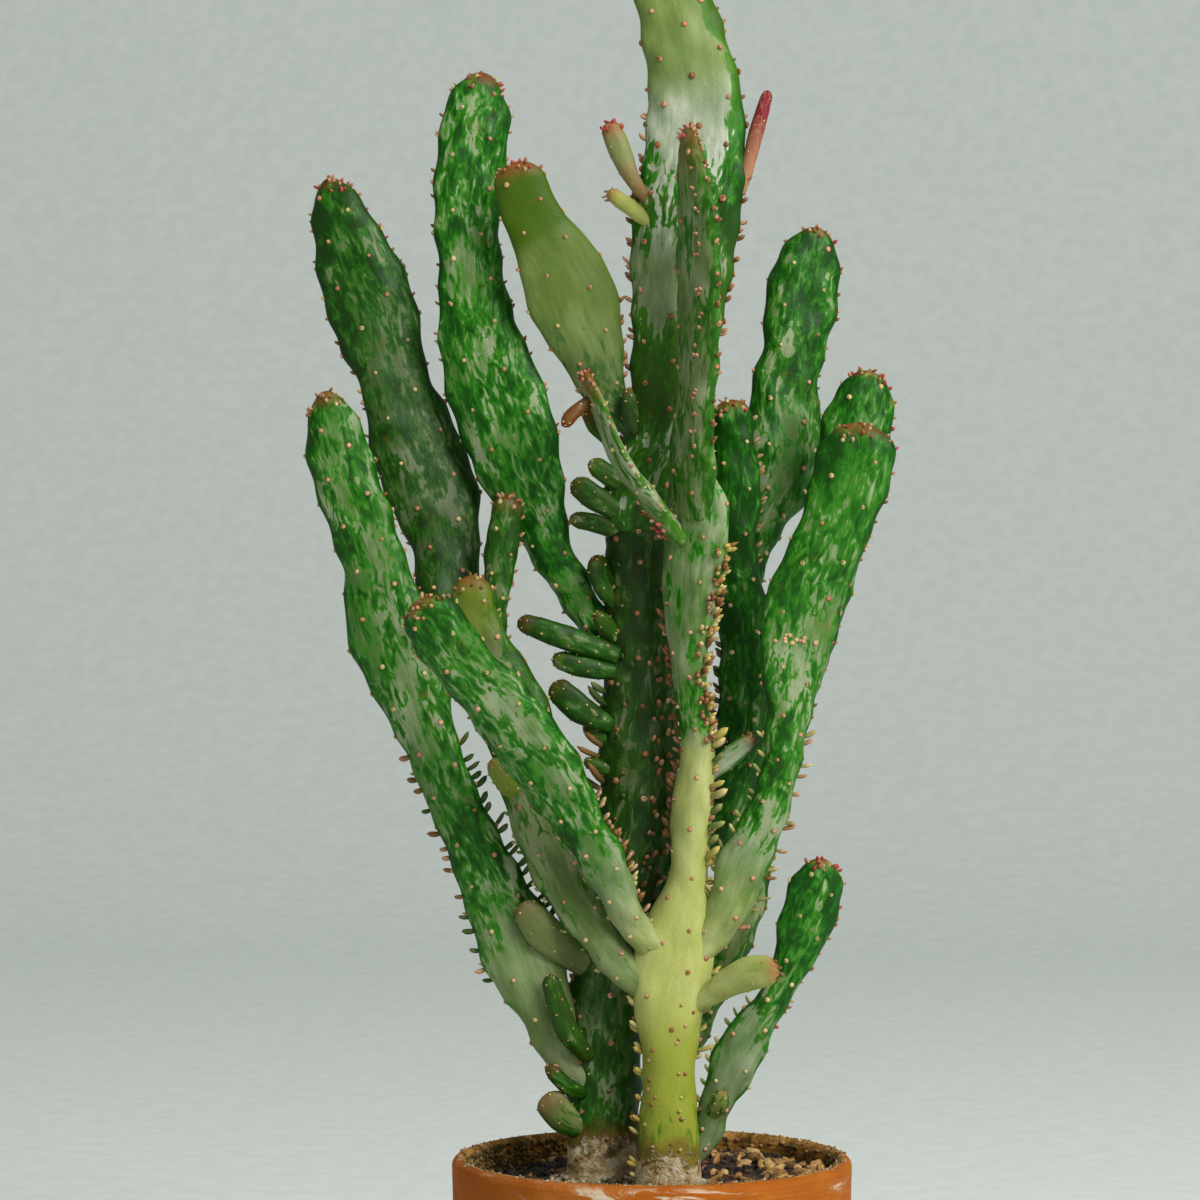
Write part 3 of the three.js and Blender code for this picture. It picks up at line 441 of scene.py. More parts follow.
def loose_soil(name, roughness, depth):
    """A dull surface in each lump's own tint, with fine grit in its colour and its relief."""
    material, tree, place = new_material(name)
    grit = noise(place, 700, detail=4, roughness=0.7)
    own = attribute(tree, "tint", "Color")
    dark = mixed(0.55, own, paint(20, 14, 9))
    finish(tree, mixed(eased(grit, 0.35, 0.62), dark, own), roughness, grit, depth)
    return material


soil_block = soil_skin()
soil_block["tint"] = np.broadcast_to(paint(40, 31, 23), (len(soil_block["points"]), 4))
make_piece("soil_bed", [soil_block], [loose_soil("peat", 0.95, 0.0008)], "potting_soil", "soil")

DARK_CRUMBS = [(48, 36, 26), (34, 27, 20), (70, 52, 34), (28, 24, 20), (92, 70, 46)]
TAN_CHIPS = [(194, 150, 84), (174, 128, 66), (204, 168, 108), (146, 104, 54), (122, 88, 48)]
RED_SLIVERS = [(110, 62, 40), (84, 52, 34), (140, 96, 62)]
PALE_GRIT = [(178, 166, 136), (150, 138, 110), (196, 188, 164), (122, 108, 80), (140, 118, 84)]
random = np.random.default_rng(11)
crumbs = strewn(random, 1500, (0, 63), (0.5, 1.3), 0.35, DARK_CRUMBS, 21)
make_piece("soil_crumbs", [crumbs], [loose_soil("crumbs", 0.95, 0.0004)], "potting_soil")

chips = strewn(
    random, 110, (22, 61), (1.3, 3.4), 0.5, TAN_CHIPS, 22, rings=5, sides=8, shape=(1.5, 0.9, 0.45),
    directions=(-0.9, 1.3),
)
slivers = strewn(
    random, 46, (20, 60), (0.7, 1.1), 1.2, RED_SLIVERS, 23, shape=(6.5, 0.8, 0.6),
    directions=(-1.2, 2.6),
)
scattered = strewn(random, 70, (16, 62), (0.8, 1.7), 0.5, TAN_CHIPS, 24)
make_piece(
    "bark_chips", [chips, slivers, scattered], [loose_soil("bark", 0.85, 0.0003)], "potting_soil",
)


def round_foot(foot, count, spread, seed):
    """Grit in a ring round a stem's oval foot, thickest at the stem and thinner outwards."""
    random = np.random.default_rng(seed)
    angle = random.uniform(0, 2 * np.pi, count)
    away = spread * random.uniform(0, 1, count) ** 1.6
    x = foot[0] + (foot[2] + away) * np.cos(angle)
    y = foot[1] + (foot[3] + away) * np.sin(angle)
    size = random.uniform(0.45, 1.15, (count, 1)) * random.uniform(0.7, 1.3, (count, 3))
    middles = np.stack([x, y, soil_level(x, y) + 0.3 + 1.6 * np.exp(-away / 1.5)], axis=-1)
    return grains(middles, size, pick_tints(random, count, PALE_GRIT), seed)


grit_rings = [round_foot(TRUNK_FOOT, 330, 5, 31), round_foot(FRONT_FOOT, 330, 6, 32)]
make_piece("pale_grit", grit_rings, [loose_soil("grit", 0.9, 0.0003)], "potting_soil")

CRUST_RADIUS = 64.3
CRUST_TOP = 124.4
LIP_RADIUS = 67
MOSSY_CRUST = [(138, 102, 50), (100, 78, 36), (70, 56, 28), (164, 130, 76), (80, 84, 36)]
LIP_DIRT = [(200, 182, 148), (168, 132, 88), (120, 90, 52), (184, 160, 122)]


def rim_crust(count, seed):
    """Crumbs and moss that stick to the pot's inner wall above the soil, most of them on the left
    and at the back."""
    random = np.random.default_rng(seed)
    angle = np.where(
        random.uniform(0, 1, count) < 0.6,
        random.normal(2.7, 0.55, count), random.uniform(0, 2 * np.pi, count),
    )
    climb = random.uniform(0, 1, count) ** 0.7
    x, y = CRUST_RADIUS * np.cos(angle), CRUST_RADIUS * np.sin(angle)
    bottom = soil_level(x, y)
    middles = np.stack([x, y, bottom + (CRUST_TOP - bottom) * climb], axis=-1)
    size = random.uniform(0.35, 0.95, (count, 1)) * random.uniform(0.6, 1.3, (count, 3))
    return grains(middles, size, pick_tints(random, count, MOSSY_CRUST), seed)


def lip_specks(count, seed):
    """Specks of lime and soil that have dried on the pot's rounded lip."""
    random = np.random.default_rng(seed)
    angle = random.uniform(0, 2 * np.pi, count)
    radius = LIP_RADIUS + random.normal(0, 0.9, count)
    level = POT_HEIGHT - 0.1 - 0.12 * (radius - LIP_RADIUS) ** 2
    middles = np.stack([radius * np.cos(angle), radius * np.sin(angle), level], axis=-1)
    size = random.uniform(0.25, 0.75, (count, 1)) * random.uniform(0.6, 1.3, (count, 3))
    return grains(middles, size * (1, 1, 0.5), pick_tints(random, count, LIP_DIRT), seed)


crust = [rim_crust(750, 41), lip_specks(300, 42)]
make_piece("rim_crust", crust, [loose_soil("crust", 0.95, 0.0003)], "potting_soil")

# The back trunk is the oldest stem, a thick flattened green one out of the soil left of the
# middle. Like every stem it is a juicy skin over a woody core, with wool-filled areoles on low
# bosses, small fleshy leaves on its edges and young pads that sprout from the areoles.
RING_SPACING = 8.4
STATION_STEPS = 24
FACE_BOSS = 0.95
EDGE_BOSS = 1.05
BOSS_SPREAD = (3.8, 2.9)
HOLLOW_DEPTH = 0.2
WAVE_HEIGHT = 0.16
FLECK_BELOW = 5.5
FLECK_SPREAD = (4.2, 1.6)
FLOW_STRETCH = 0.42


def stem_path(stations, tip, spacing):
    """The stem's rings: stations [x, y, z, half width, half thickness, turn], where a turn of 0 may
    be left out, joined by a Catmull-Rom curve and cut at even lengths, and closer together where
    the tip rounds off, there by the sine of even steps of a quarter turn."""
    stations = np.array([(*station, 0)[:6] for station in stations], float)
    padded = np.vstack([2 * stations[0] - stations[1], stations, 2 * stations[-1] - stations[-2]])

    def station_at(u):
        """The stations between the given ones, on the cubic curve that runs through all of them."""
        i = np.clip(np.floor(u).astype(int), 0, len(stations) - 2)
        f = (u - i)[:, None]
        before, here, after, beyond = padded[i], padded[i + 1], padded[i + 2], padded[i + 3]
        bend = 2 * before - 5 * here + 4 * after - beyond
        twist = 3 * (here - after) + beyond - before
        return here + 0.5 * f * (after - before + f * (bend + f * twist))

    u = np.linspace(0, len(stations) - 1, STATION_STEPS * (len(stations) - 1) + 1)
    steps = np.linalg.norm(np.diff(station_at(u)[:, :3], axis=0), axis=1)
    lengths = np.concatenate([[0], np.cumsum(steps)])
    total = lengths[-1]

    def at(s):
        """The rings at some lengths along the stem: the middle of each, its directions along,
        across and through the stem, and its half width and thickness, which the share makes
        smaller over the tip as a quarter of a circle does."""
        rows = station_at(np.interp(s, lengths, u))
        ahead = station_at(np.interp(np.minimum(s + 0.5, total), lengths, u))[:, :3]
        behind = station_at(np.interp(np.maximum(s - 0.5, 0), lengths, u))[:, :3]
        along = ahead - behind
        along /= np.linalg.norm(along, axis=1, keepdims=True)
        across = np.cross([0.0, 1.0, 0.0], along)
        across /= np.linalg.norm(across, axis=1, keepdims=True)
        back = np.cross(along, across)
        turn = np.radians(rows[:, 5])[:, None]
        wide = across * np.cos(turn) + back * np.sin(turn)
        left = np.clip((total - s) / tip, 0, 1)
        share = np.sqrt(np.clip(1 - (1 - left) ** 2, 0, 1))
        return {
            "middle": rows[:, :3], "along": along, "wide": wide, "thin": np.cross(along, wide),
            "half_width": rows[:, 3] * share, "half_thickness": rows[:, 4] * share, "share": share,
        }

    body = np.linspace(0, total - tip, max(3, round((total - tip) / spacing)) + 1)
    quarter = np.radians(np.linspace(0, 84, max(6, round(1.6 * tip / spacing)))[1:])
    return total, at, np.concatenate([body, total - tip * (1 - np.sin(quarter))])


def on_skin(rings, angle):
    """Points round each ring's oval section: its middle, plus the half width times the cosine one
    way and the half thickness times the sine the other. The directions straight out of the skin
    have the two halves changed over. An angle of 0 is the right edge, 90 the back, 180 the left
    edge and 270 the front, all in degrees."""
    cosine = np.cos(np.radians(angle))[..., None]
    sine = np.sin(np.radians(angle))[..., None]
    broad, slim = (rings[half][:, None, None] for half in ("half_width", "half_thickness"))
    wide, thin = rings["wide"][:, None], rings["thin"][:, None]
    points = rings["middle"][:, None] + wide * broad * cosine + thin * slim * sine
    outward = wide * (slim + 0.02) * cosine + thin * (broad + 0.02) * sine
    return points, outward / np.linalg.norm(outward, axis=-1, keepdims=True)


def areole_places(total, tip, columns, spacing, random):
    """Staggered rows: at even rings along the stem, every other one of the columns round it, with
    a little seeded disorder. The columns at 0 and 180 degrees are the stem's two edges."""
    even = max(2, round((total - tip) / spacing))
    rings = np.concatenate([
        (total - tip) * np.arange(even + 1) / even, [total - 0.5 * tip, total - 0.14 * tip],
    ])
    ring, column = np.meshgrid(np.arange(len(rings)), np.arange(columns), indexing="ij")
    chosen = ((ring + column) % 2 == 0) & (ring > 0)
    s, angle = rings[ring[chosen]], 360.0 * column[chosen] / columns
    edge = column[chosen] % (columns // 2) == 0
    s = s + random.uniform(-1.3, 1.3, len(s)) * np.where(s > total - tip, 0.3, 1)
    angle = angle + np.where(edge, 0, random.uniform(-7, 7, len(s)))
    return np.clip(s, 1, total - 0.4), angle, edge


def buds(
    roots, outward, along, length, radius, lean, tints, rings=4, sides=6, sink=1.0, droop=0.25,
    splay=None,
):
    """Fleshy buds: blunt fingers whose radius is the third root of the way along, times the square
    root of one less its cube, from a root sunk in the skin, out along a leaning direction, and bent
    towards the stem's tip by the square of the way along."""
    count = len(roots)
    direction = outward + lean[:, None] * along
    if splay is not None:
        direction = direction + splay[:, None] * np.cross(outward, along)
    direction /= np.linalg.norm(direction, axis=1, keepdims=True)
    first = np.cross(direction, along + 0.3 * outward)
    first /= np.linalg.norm(first, axis=1, keepdims=True)
    second = np.cross(direction, first)
    way = np.linspace(0, 1, rings + 2)
    reach = length[:, None] * way - sink * (1 - way)
    centre = (
        roots[:, None] + direction[:, None] * reach[..., None]
        + along[:, None] * (droop * length[:, None] * way ** 2)[..., None]
    )
    swell = way[1:-1] ** 0.33 * np.sqrt(1 - way[1:-1] ** 3)
    angle = np.linspace(0, 2 * np.pi, sides, endpoint=False)
    circle = (
        first[:, None, None] * np.cos(angle)[None, None, :, None]
        + second[:, None, None] * np.sin(angle)[None, None, :, None]
    )
    grid = centre[:, 1:-1, None] + radius[:, None, None, None] * swell[None, :, None, None] * circle
    root_tint, tip_tint = tints
    share = (way ** 1.6)[None, :, None]
    colour = root_tint[:, None] * (1 - share) + tip_tint[:, None] * share
    middle = np.broadcast_to(colour[:, 1:-1, None], (count, rings, sides, 4)).reshape(count, -1, 4)
    tint = np.concatenate([middle, colour[:, :1], colour[:, -1:]], axis=1)
    made = many(grid, centre[:, [0, -1]], tint)
    made["finish"] = 1
    return made


# Each kind of bud has pairs of colours, one at its root and one at its tip.
BUD_COLOURS = {
    "fresh": [((84, 112, 44), (154, 156, 92)), ((72, 104, 38), (140, 142, 78))],
    "cream": [((144, 140, 76), (208, 190, 134)), ((126, 130, 62), (190, 170, 112))],
    "pink": [((140, 116, 72), (204, 156, 124)), ((126, 98, 58), (186, 126, 98))],
    "crimson": [((136, 64, 46), (178, 62, 66)), ((146, 76, 54), (184, 84, 76))],
    "brown": [((80, 76, 34), (140, 92, 52)), ((88, 70, 34), (156, 104, 66))],
    "yellow": [((160, 158, 72), (208, 184, 98)), ((150, 150, 66), (202, 160, 84))],
    "green": [((28, 66, 16), (74, 96, 40)), ((36, 66, 18), (116, 122, 72))],
}


def pick_pairs(random, count, kinds):
    """Root and tip colours for buds of some kinds, each pair made lighter or darker at random."""
    pairs = np.array([
        [paint(*root), paint(*tip)] for kind in kinds.split() for root, tip in BUD_COLOURS[kind]
    ])
    chosen = pairs[random.integers(0, len(pairs), count)]
    chosen[..., :3] *= random.uniform(0.82, 1.15, (count, 1, 1))
    return chosen[:, 0], chosen[:, 1]


def grow(
    stations, tip, seed, columns=6, ring_spacing=RING_SPACING, spacing=1.2, sides=60, boss=1.0,
    pale=0.5, warm=0.0, calm=0.0, age=0.0, cork=0.0, blush=((0.975, 0), (1, 0.7)), edge_pale=-0.3,
    right_pale=0.0, felt=1.0, felt_kinds="cream pink", grain_kinds="cream pink",
    grain_share=0.7,
):
    """A stem's closed skin with the felt and the tiny buds of its areoles. Each ring is an oval,
    and every point is raised along the outward direction by a bell-shaped boss at each areole, less
    a shallow hollow between them, plus slow waves. The attributes say, along the stem, how much of
    the green is lost, how yellow, how even, how corky and how red the skin is, how much it is
    darkened for old skin and for painted shade, and where the dark fleck under each areole lies."""
    random = np.random.default_rng(seed)
    total, at, s = stem_path(stations, tip, spacing)
    rings = at(s)
    angle = np.linspace(0, 360, sides, endpoint=False)
    points, outward = on_skin(rings, np.broadcast_to(angle, (len(s), sides)))
    areole_s, areole_angle, edge = areole_places(total, tip, columns, ring_spacing, random)
    areole_rings = at(areole_s)
    seats = on_skin(areole_rings, areole_angle[:, None])[0][:, 0]
    low_seats = on_skin(at(np.maximum(areole_s - FLECK_BELOW, 0)), areole_angle[:, None])[0][:, 0]

    def bells(centres, long, across):
        """For each skin point, the height of the bell round each centre: e to the minus half the
        square of the distance, counted in one width along the stem and another across it."""
        away = points[:, :, None] - centres
        lengthwise = np.einsum("ijkc,kc->ijk", away, areole_rings["along"])
        beside = np.maximum((away ** 2).sum(-1) - lengthwise ** 2, 0)
        return np.exp(-0.5 * (lengthwise / long) ** 2 - 0.5 * beside / across ** 2)

    height = np.where(edge, EDGE_BOSS, FACE_BOSS) * random.uniform(0.6, 1.4, len(edge))
    bosses = (bells(seats, *BOSS_SPREAD) * height).max(axis=-1)
    phase = random.uniform(0, 2 * np.pi, 3)
    turn = np.radians(angle)
    waves = (
        np.sin(s[:, None] / 13 + 2 * turn + phase[0]) + np.sin(s[:, None] / 7.3 - turn + phase[1])
    )
    raised = boss * rings["share"][:, None] * (bosses - HOLLOW_DEPTH + WAVE_HEIGHT * waves)
    points = points + outward * raised[..., None]
    share_along = np.broadcast_to(s[:, None] / total, points.shape[:2])

    def level(value):
        """A value that is the same all along the stem, or that changes by stops along it."""
        if np.ndim(value):
            return np.interp(share_along, *zip(*value))
        return np.full(share_along.shape, value)

    cosine = np.cos(turn)
    flow = np.stack([
        rings["half_width"][:, None] * cosine, rings["half_thickness"][:, None] * np.sin(turn),
        np.broadcast_to(FLOW_STRETCH * s[:, None], share_along.shape),
    ], axis=-1) + random.uniform(0, 400, 3)
    attributes = {
        "flow": flow, "warm": level(warm), "calm": level(calm), "age": level(age),
        "blush": level(blush), "cork": level(cork),
        "fleck": bells(low_seats, *FLECK_SPREAD).max(axis=-1),
        "pale": level(pale) + edge_pale * np.abs(cosine) ** 6
        + level(right_pale) * np.maximum(cosine, 0) ** 3,
    }
    skin = closed_skin(points, rings["middle"][0], at(np.array([total]))["middle"][0])
    for name, values in attributes.items():
        flat = values.reshape(len(s) * sides, -1)
        skin[name] = np.vstack([flat, flat[:1], flat[-1:]])

    def seat(shares, degrees):
        """The skin's nearest points, and the outward and lengthwise directions there."""
        i = np.abs(s[None] - np.atleast_1d(shares)[:, None] * total).argmin(axis=1)
        j = np.round(np.atleast_1d(degrees) / 360 * sides).astype(int) % sides
        return points[i, j], outward[i, j], rings["along"][i]

    roots = seat(areole_s / total, areole_angle)
    count = len(areole_s)
    size = 1.15 * felt * random.uniform(0.8, 1.25, count)
    tint = pick_pairs(random, count, felt_kinds)[1]
    shaded_and_lit = tint * (0.6, 0.5, 0.4, 1), tint * (1.15, 1.15, 1.15, 1)
    cushions = buds(
        *roots, 0.55 * size, size, np.zeros(count), shaded_and_lit, rings=2, sink=0.5, droop=0,
    )
    chosen = random.uniform(0, 1, count) < grain_share
    few = chosen.sum()
    grains_on_felt = buds(
        *(part[chosen] for part in roots), felt * random.uniform(0.8, 1.35, few),
        felt * random.uniform(0.45, 0.7, few), random.uniform(-0.3, 0.9, few),
        pick_pairs(random, few, grain_kinds), rings=3, sides=5, sink=0.5,
        splay=random.uniform(-0.6, 0.6, few),
    )
    return [skin, cushions, grains_on_felt], seat


def bud_row(seat, seed, angle, span, count, length, radius, kinds, cluster=1, lean=0.4, scatter=8):
    """A row of buds, or of clusters of them, between two shares of the stem's length, with seeded
    disorder in their places, sizes, directions and colours."""
    random = np.random.default_rng(seed)
    place = np.linspace(span[0], span[1], count)
    place = place + random.uniform(-0.4, 0.4, count) * (span[1] - span[0]) / count
    place = np.repeat(place, cluster)
    count = count * cluster
    place = place + random.uniform(-0.004, 0.004, count) * (cluster > 1)
    roots = seat(place, angle + random.uniform(-scatter, scatter, count))
    return buds(
        *roots, random.uniform(*length, count), random.uniform(*radius, count),
        lean + random.uniform(-0.3, 0.3, count), pick_pairs(random, count, kinds),
        splay=random.uniform(-0.3, 0.3, count),
    )


def tip_buds(seat, seed, kinds="crimson pink", count=14, reach=0.035):
    """A tight crown of tiny new buds round the very end of a pad, at random angles."""
    angle = np.random.default_rng(seed).uniform(0, 360, count)
    return bud_row(
        seat, seed, angle, (1 - reach, 0.999), count, (0.9, 1.9), (0.55, 0.95), kinds, lean=0.6,
        scatter=0,
    )


# Each list gives colours for low, middle and high values of the noise that picks them.
GREENS = [(0.26, 10, 64, 0), (0.38, 22, 95, 2), (0.5, 58, 125, 26)]
SAGES = [(0.38, 78, 116, 52), (0.5, 110, 134, 86), (0.62, 140, 155, 118)]
CREAMS = [(0.36, 148, 156, 76), (0.5, 170, 175, 98), (0.64, 190, 192, 128)]
CORK = [(0.34, 106, 80, 44), (0.46, 168, 146, 104), (0.62, 208, 196, 164)]
RIPE_GREEN = (138, 147, 46)
YOUNG_RED = (150, 58, 42)


def skin_material(
    name, greens=GREENS, sages=SAGES, creams=CREAMS, ripe=RIPE_GREEN, young=YOUNG_RED,
):
    """Cactus skin. The sum of three noises that are drawn out along the stem says where the green
    is lost: high values are sage or cream, low ones deep green, with a lighter green between. Young
    tips blush red, old feet are corky, and a dark mix makes old skin duller and also paints shade
    on stems that stand behind or under others."""
    material, tree, place = new_material(name)
    flow = attribute(tree, "flow", "Vector")
    pale, warm, calm, age, blush, fleck, cork = (
        attribute(tree, value)
        for value in ("pale", "warm", "calm", "age", "blush", "fleck", "cork")
    )
    broad = noise(flow, 0.12, detail=2, roughness=0.5, distortion=0.6)
    flecks = noise(flow, 0.35, detail=3, roughness=0.55, distortion=1.2)
    streaks = noise(stretched(flow, 0.4), 0.62, detail=2, roughness=0.5, distortion=0.4)
    clouds = noise(flow, 0.09, detail=3, roughness=0.6)
    fine = noise(flow, 1.5, detail=3, roughness=0.6)
    bark = noise(place, 260, detail=5, roughness=0.7)
    lumps = noise(place, 110, detail=3, roughness=0.6)
    pores = noise(place, 1500, detail=2)

    cover = broad * 0.7 + flecks * 0.9 + streaks * 0.35 - 0.975
    lost = (cover - fleck * 0.12) * (1 - calm * 0.85) + (pale - 0.5) * 0.42
    green = mixed(warm * 0.75, shades(lost + 0.5, greens), paint(84, 118, 20))
    tone = (clouds + streaks * 0.4 - 0.7) * ((0.5 - calm * 0.35) * 2) + 0.5
    sage, cream = shades(tone, sages), shades(tone, creams)
    faded = mixed(eased(warm, 0, 0.7), sage, cream)
    faded = mixed(eased(warm, 0.7, 1), faded, paint(*ripe))
    colour = mixed(eased(lost, -0.02, 0.045), green, faded)
    colour = mixed(eased(fine, 0.5, 0.3) * 0.12, colour, paint(52, 84, 22))
    colour = mixed(blush * eased(fine, 0.2, 0.55), colour, paint(*young))
    # Painted shade: this dark mix stands for old, dull skin and also for the shade on stems that
    # stand behind or under others.
    colour = mixed(age, colour, paint(22, 32, 2))

    edge = cork + lumps * 0.9 + bark * 0.4
    corky = eased(edge, 1.08, 1.2)
    colour = mixed(eased(edge, 0.74, 1.1) * 0.75, colour, paint(112, 84, 30))
    colour = mixed(corky, colour, shades(bark, CORK))
    relief = pores * 0.3 + fine * 0.3 + bark * (corky * 6)
    rough = add_node("ShaderNodeMapRange", {"Value": corky, "To Min": 0.46, "To Max": 0.9})
    finish(tree, colour, rough, relief, 0.00035, shine=0.18)
    return material


def bud_material():
    """Bud flesh and areole felt in each one's own tint, darker in a fine mottle."""
    material, tree, place = new_material("bud_flesh")
    mottle = noise(place, 500, detail=3)
    own = attribute(tree, "tint", "Color")
    darker = mixed(0.3, own, paint(70, 50, 20))
    colour = mixed(eased(mottle, 0.3, 0.6), darker, own)
    finish(tree, colour, 0.6, mottle, 0.0002, shine=0.25)
    return material


green_skin = skin_material("green_skin")
bud_flesh = bud_material()


def young_pad(stations, seed, tip=4, **look):
    """The skins of a young pad: a small stem, smoother, with close areoles and a browned tip."""
    look = {
        "ring_spacing": 5.0, "spacing": 0.9, "sides": 26, "boss": 0.4, "felt": 0.45,
        "blush": ((0.8, 0), (1, 0.4)), "warm": 0.35, "age": 0.4, "pale": 0.4, **look,
    }
    return grow(stations, tip, seed, **look)[0]


def plant_piece(
    node, stations, skin=green_skin, slot="green_skin", crown=(), rows=(), young=(), **look,
):
    """One stem as the piece that stands for its CAD node. Its stations are [x, y, z, half width,
    half thickness, turn], and a look that changes along it is given by stops of (share of the
    stem's length, value). A crown of new buds on its tip is (seed, kinds, count, reach), and each
    row of buds (seed, angle, span, count, length, radius, kinds, cluster, lean, scatter). The young
    pads sprout from it."""
    shapes, seat = grow(stations, **look)
    if crown:
        shapes.append(tip_buds(seat, *crown))
    for row in rows:
        shapes.append(bud_row(seat, *row))
    for pad in young:
        shapes += pad
    make_piece(node + "_skin", shapes, [skin, bud_flesh], slot, node)


plant_piece(
    "back_trunk",
    [
        [-17, 9, 98, 13, 9, 8], [-17, 9, 136, 12.4, 8.5, 8], [-17, 9, 158, 13.2, 8, 8],
        [-15, 9, 186, 12.8, 8, 6], [-10, 9, 213, 12.6, 7.5, 4], [-5, 9, 245, 13.6, 7.5, 4],
        [-4, 9, 280, 13.2, 7, 4], [-4.5, 9, 312, 12, 7, 2], [-5.5, 9, 347, 10.4, 6],
    ],
    tip=5, seed=101, columns=8, sides=84,
    pale=((0, 0.48), (0.16, 0.48), (0.26, 0.38), (0.6, 0.34), (1, 0.26)), warm=0.12,
    # Painted shade: the trunk is darkened more towards its top, partly for old skin and mostly for
    # the shade under the pads that crowd over it.
    age=((0, 0.38), (0.3, 0.48), (0.5, 0.68), (1, 0.74)),
    cork=((0, 1), (0.07, 1), (0.18, 0), (1, 0)), blush=0, felt=1.25, felt_kinds="brown pink",
    grain_kinds="green brown",
    rows=[
        (1, 198, (0.59, 0.79), 9, (8, 11), (1.5, 2), "brown green", 1, 0.35),
        (2, 205, (0.2, 0.52), 12, (1.6, 3.2), (0.7, 1.1), "fresh brown"),
        (3, 292, (0.44, 0.8), 15, (1.8, 3.2), (0.9, 1.3), "brown pink", 2),
        (4, 318, (0.44, 0.8), 15, (1.8, 3.2), (0.8, 1.2), "brown pink", 2),
        (5, 240, (0.5, 0.95), 12, (1.4, 2.6), (0.7, 1), "brown green"),
    ],
    young=[
        young_pad(
            [[-24, 5, 134, 3, 2.5], [-31, 0, 139, 5.4, 2.5], [-37.5, -3, 147.5, 5, 2.2]],
            111, pale=0.85, warm=0.25, calm=0.4, age=0.36, blush=((0.6, 0), (1, 0.6)),
        ),
        young_pad(
            [[-24, 2, 147, 2, 1.8], [-30, -3, 151, 2.7, 1.8], [-37, -5, 158, 1.8, 1.4]],
            112, warm=0.1, blush=((0.7, 0), (1, 0.5)),
        ),
        young_pad(
            [[-22, 0, 160, 2.6, 2.2], [-30, -6, 171, 3.8, 2.2], [-36, -8, 190, 3, 2]],
            113, pale=0.2, age=0.5, blush=0,
        ),
        young_pad(
            [
                [-22, 6, 190, 3, 2.5], [-31, -2, 198, 5.6, 2.5], [-39, -6, 206, 6.4, 2.5],
                [-45.5, -9, 215, 3.8, 2],
            ],
            114, pale=0.85, warm=0.3, calm=0.8, age=0.5, blush=((0.8, 0), (1, 0.4)),
        ),
        young_pad(
            [[-14, 4, 276, 2.5, 2], [-25, 0, 282, 4.6, 2.2], [-35, -1, 291, 4, 2]],
            115, pale=0.35, warm=0.1, age=0.5,
        ),
        young_pad(
            [[-13, 3, 295, 2.5, 2], [-24, 1, 297, 3.6, 2.2], [-35, 0, 300, 2.6, 2]],
            116, pale=0.4, warm=0.1, age=0.45,
        ),
        young_pad(
            [[-12, 4, 301, 3, 2.5], [-30, -2, 307, 4.2, 2.5], [-47, -3, 313, 3, 2]],
            117, pale=0.4, warm=0.05, age=0.48,
        ),
        young_pad([[-13, 6, 306, 2.2, 2], [-16, 1, 311, 3, 2], [-20, -2, 316, 2, 2]], 118),
        young_pad(
            [[-12, 8, 318, 3, 2.2, 40], [-17, 4, 326, 4.6, 2.4, 40], [-20, 2, 336, 4, 2, 40]],
            119, pale=0.4, warm=0.1, age=0.5,
        ),
        young_pad([[-13, 8, 270, 2, 2], [-19, 6, 273, 2.6, 2], [-24, 6, 277, 2, 2]], 120),
        young_pad([[-13, 6, 260, 2, 2], [-19, 5, 262, 2.2, 2], [-24, 5, 264, 2, 2]], 121),
    ],
)

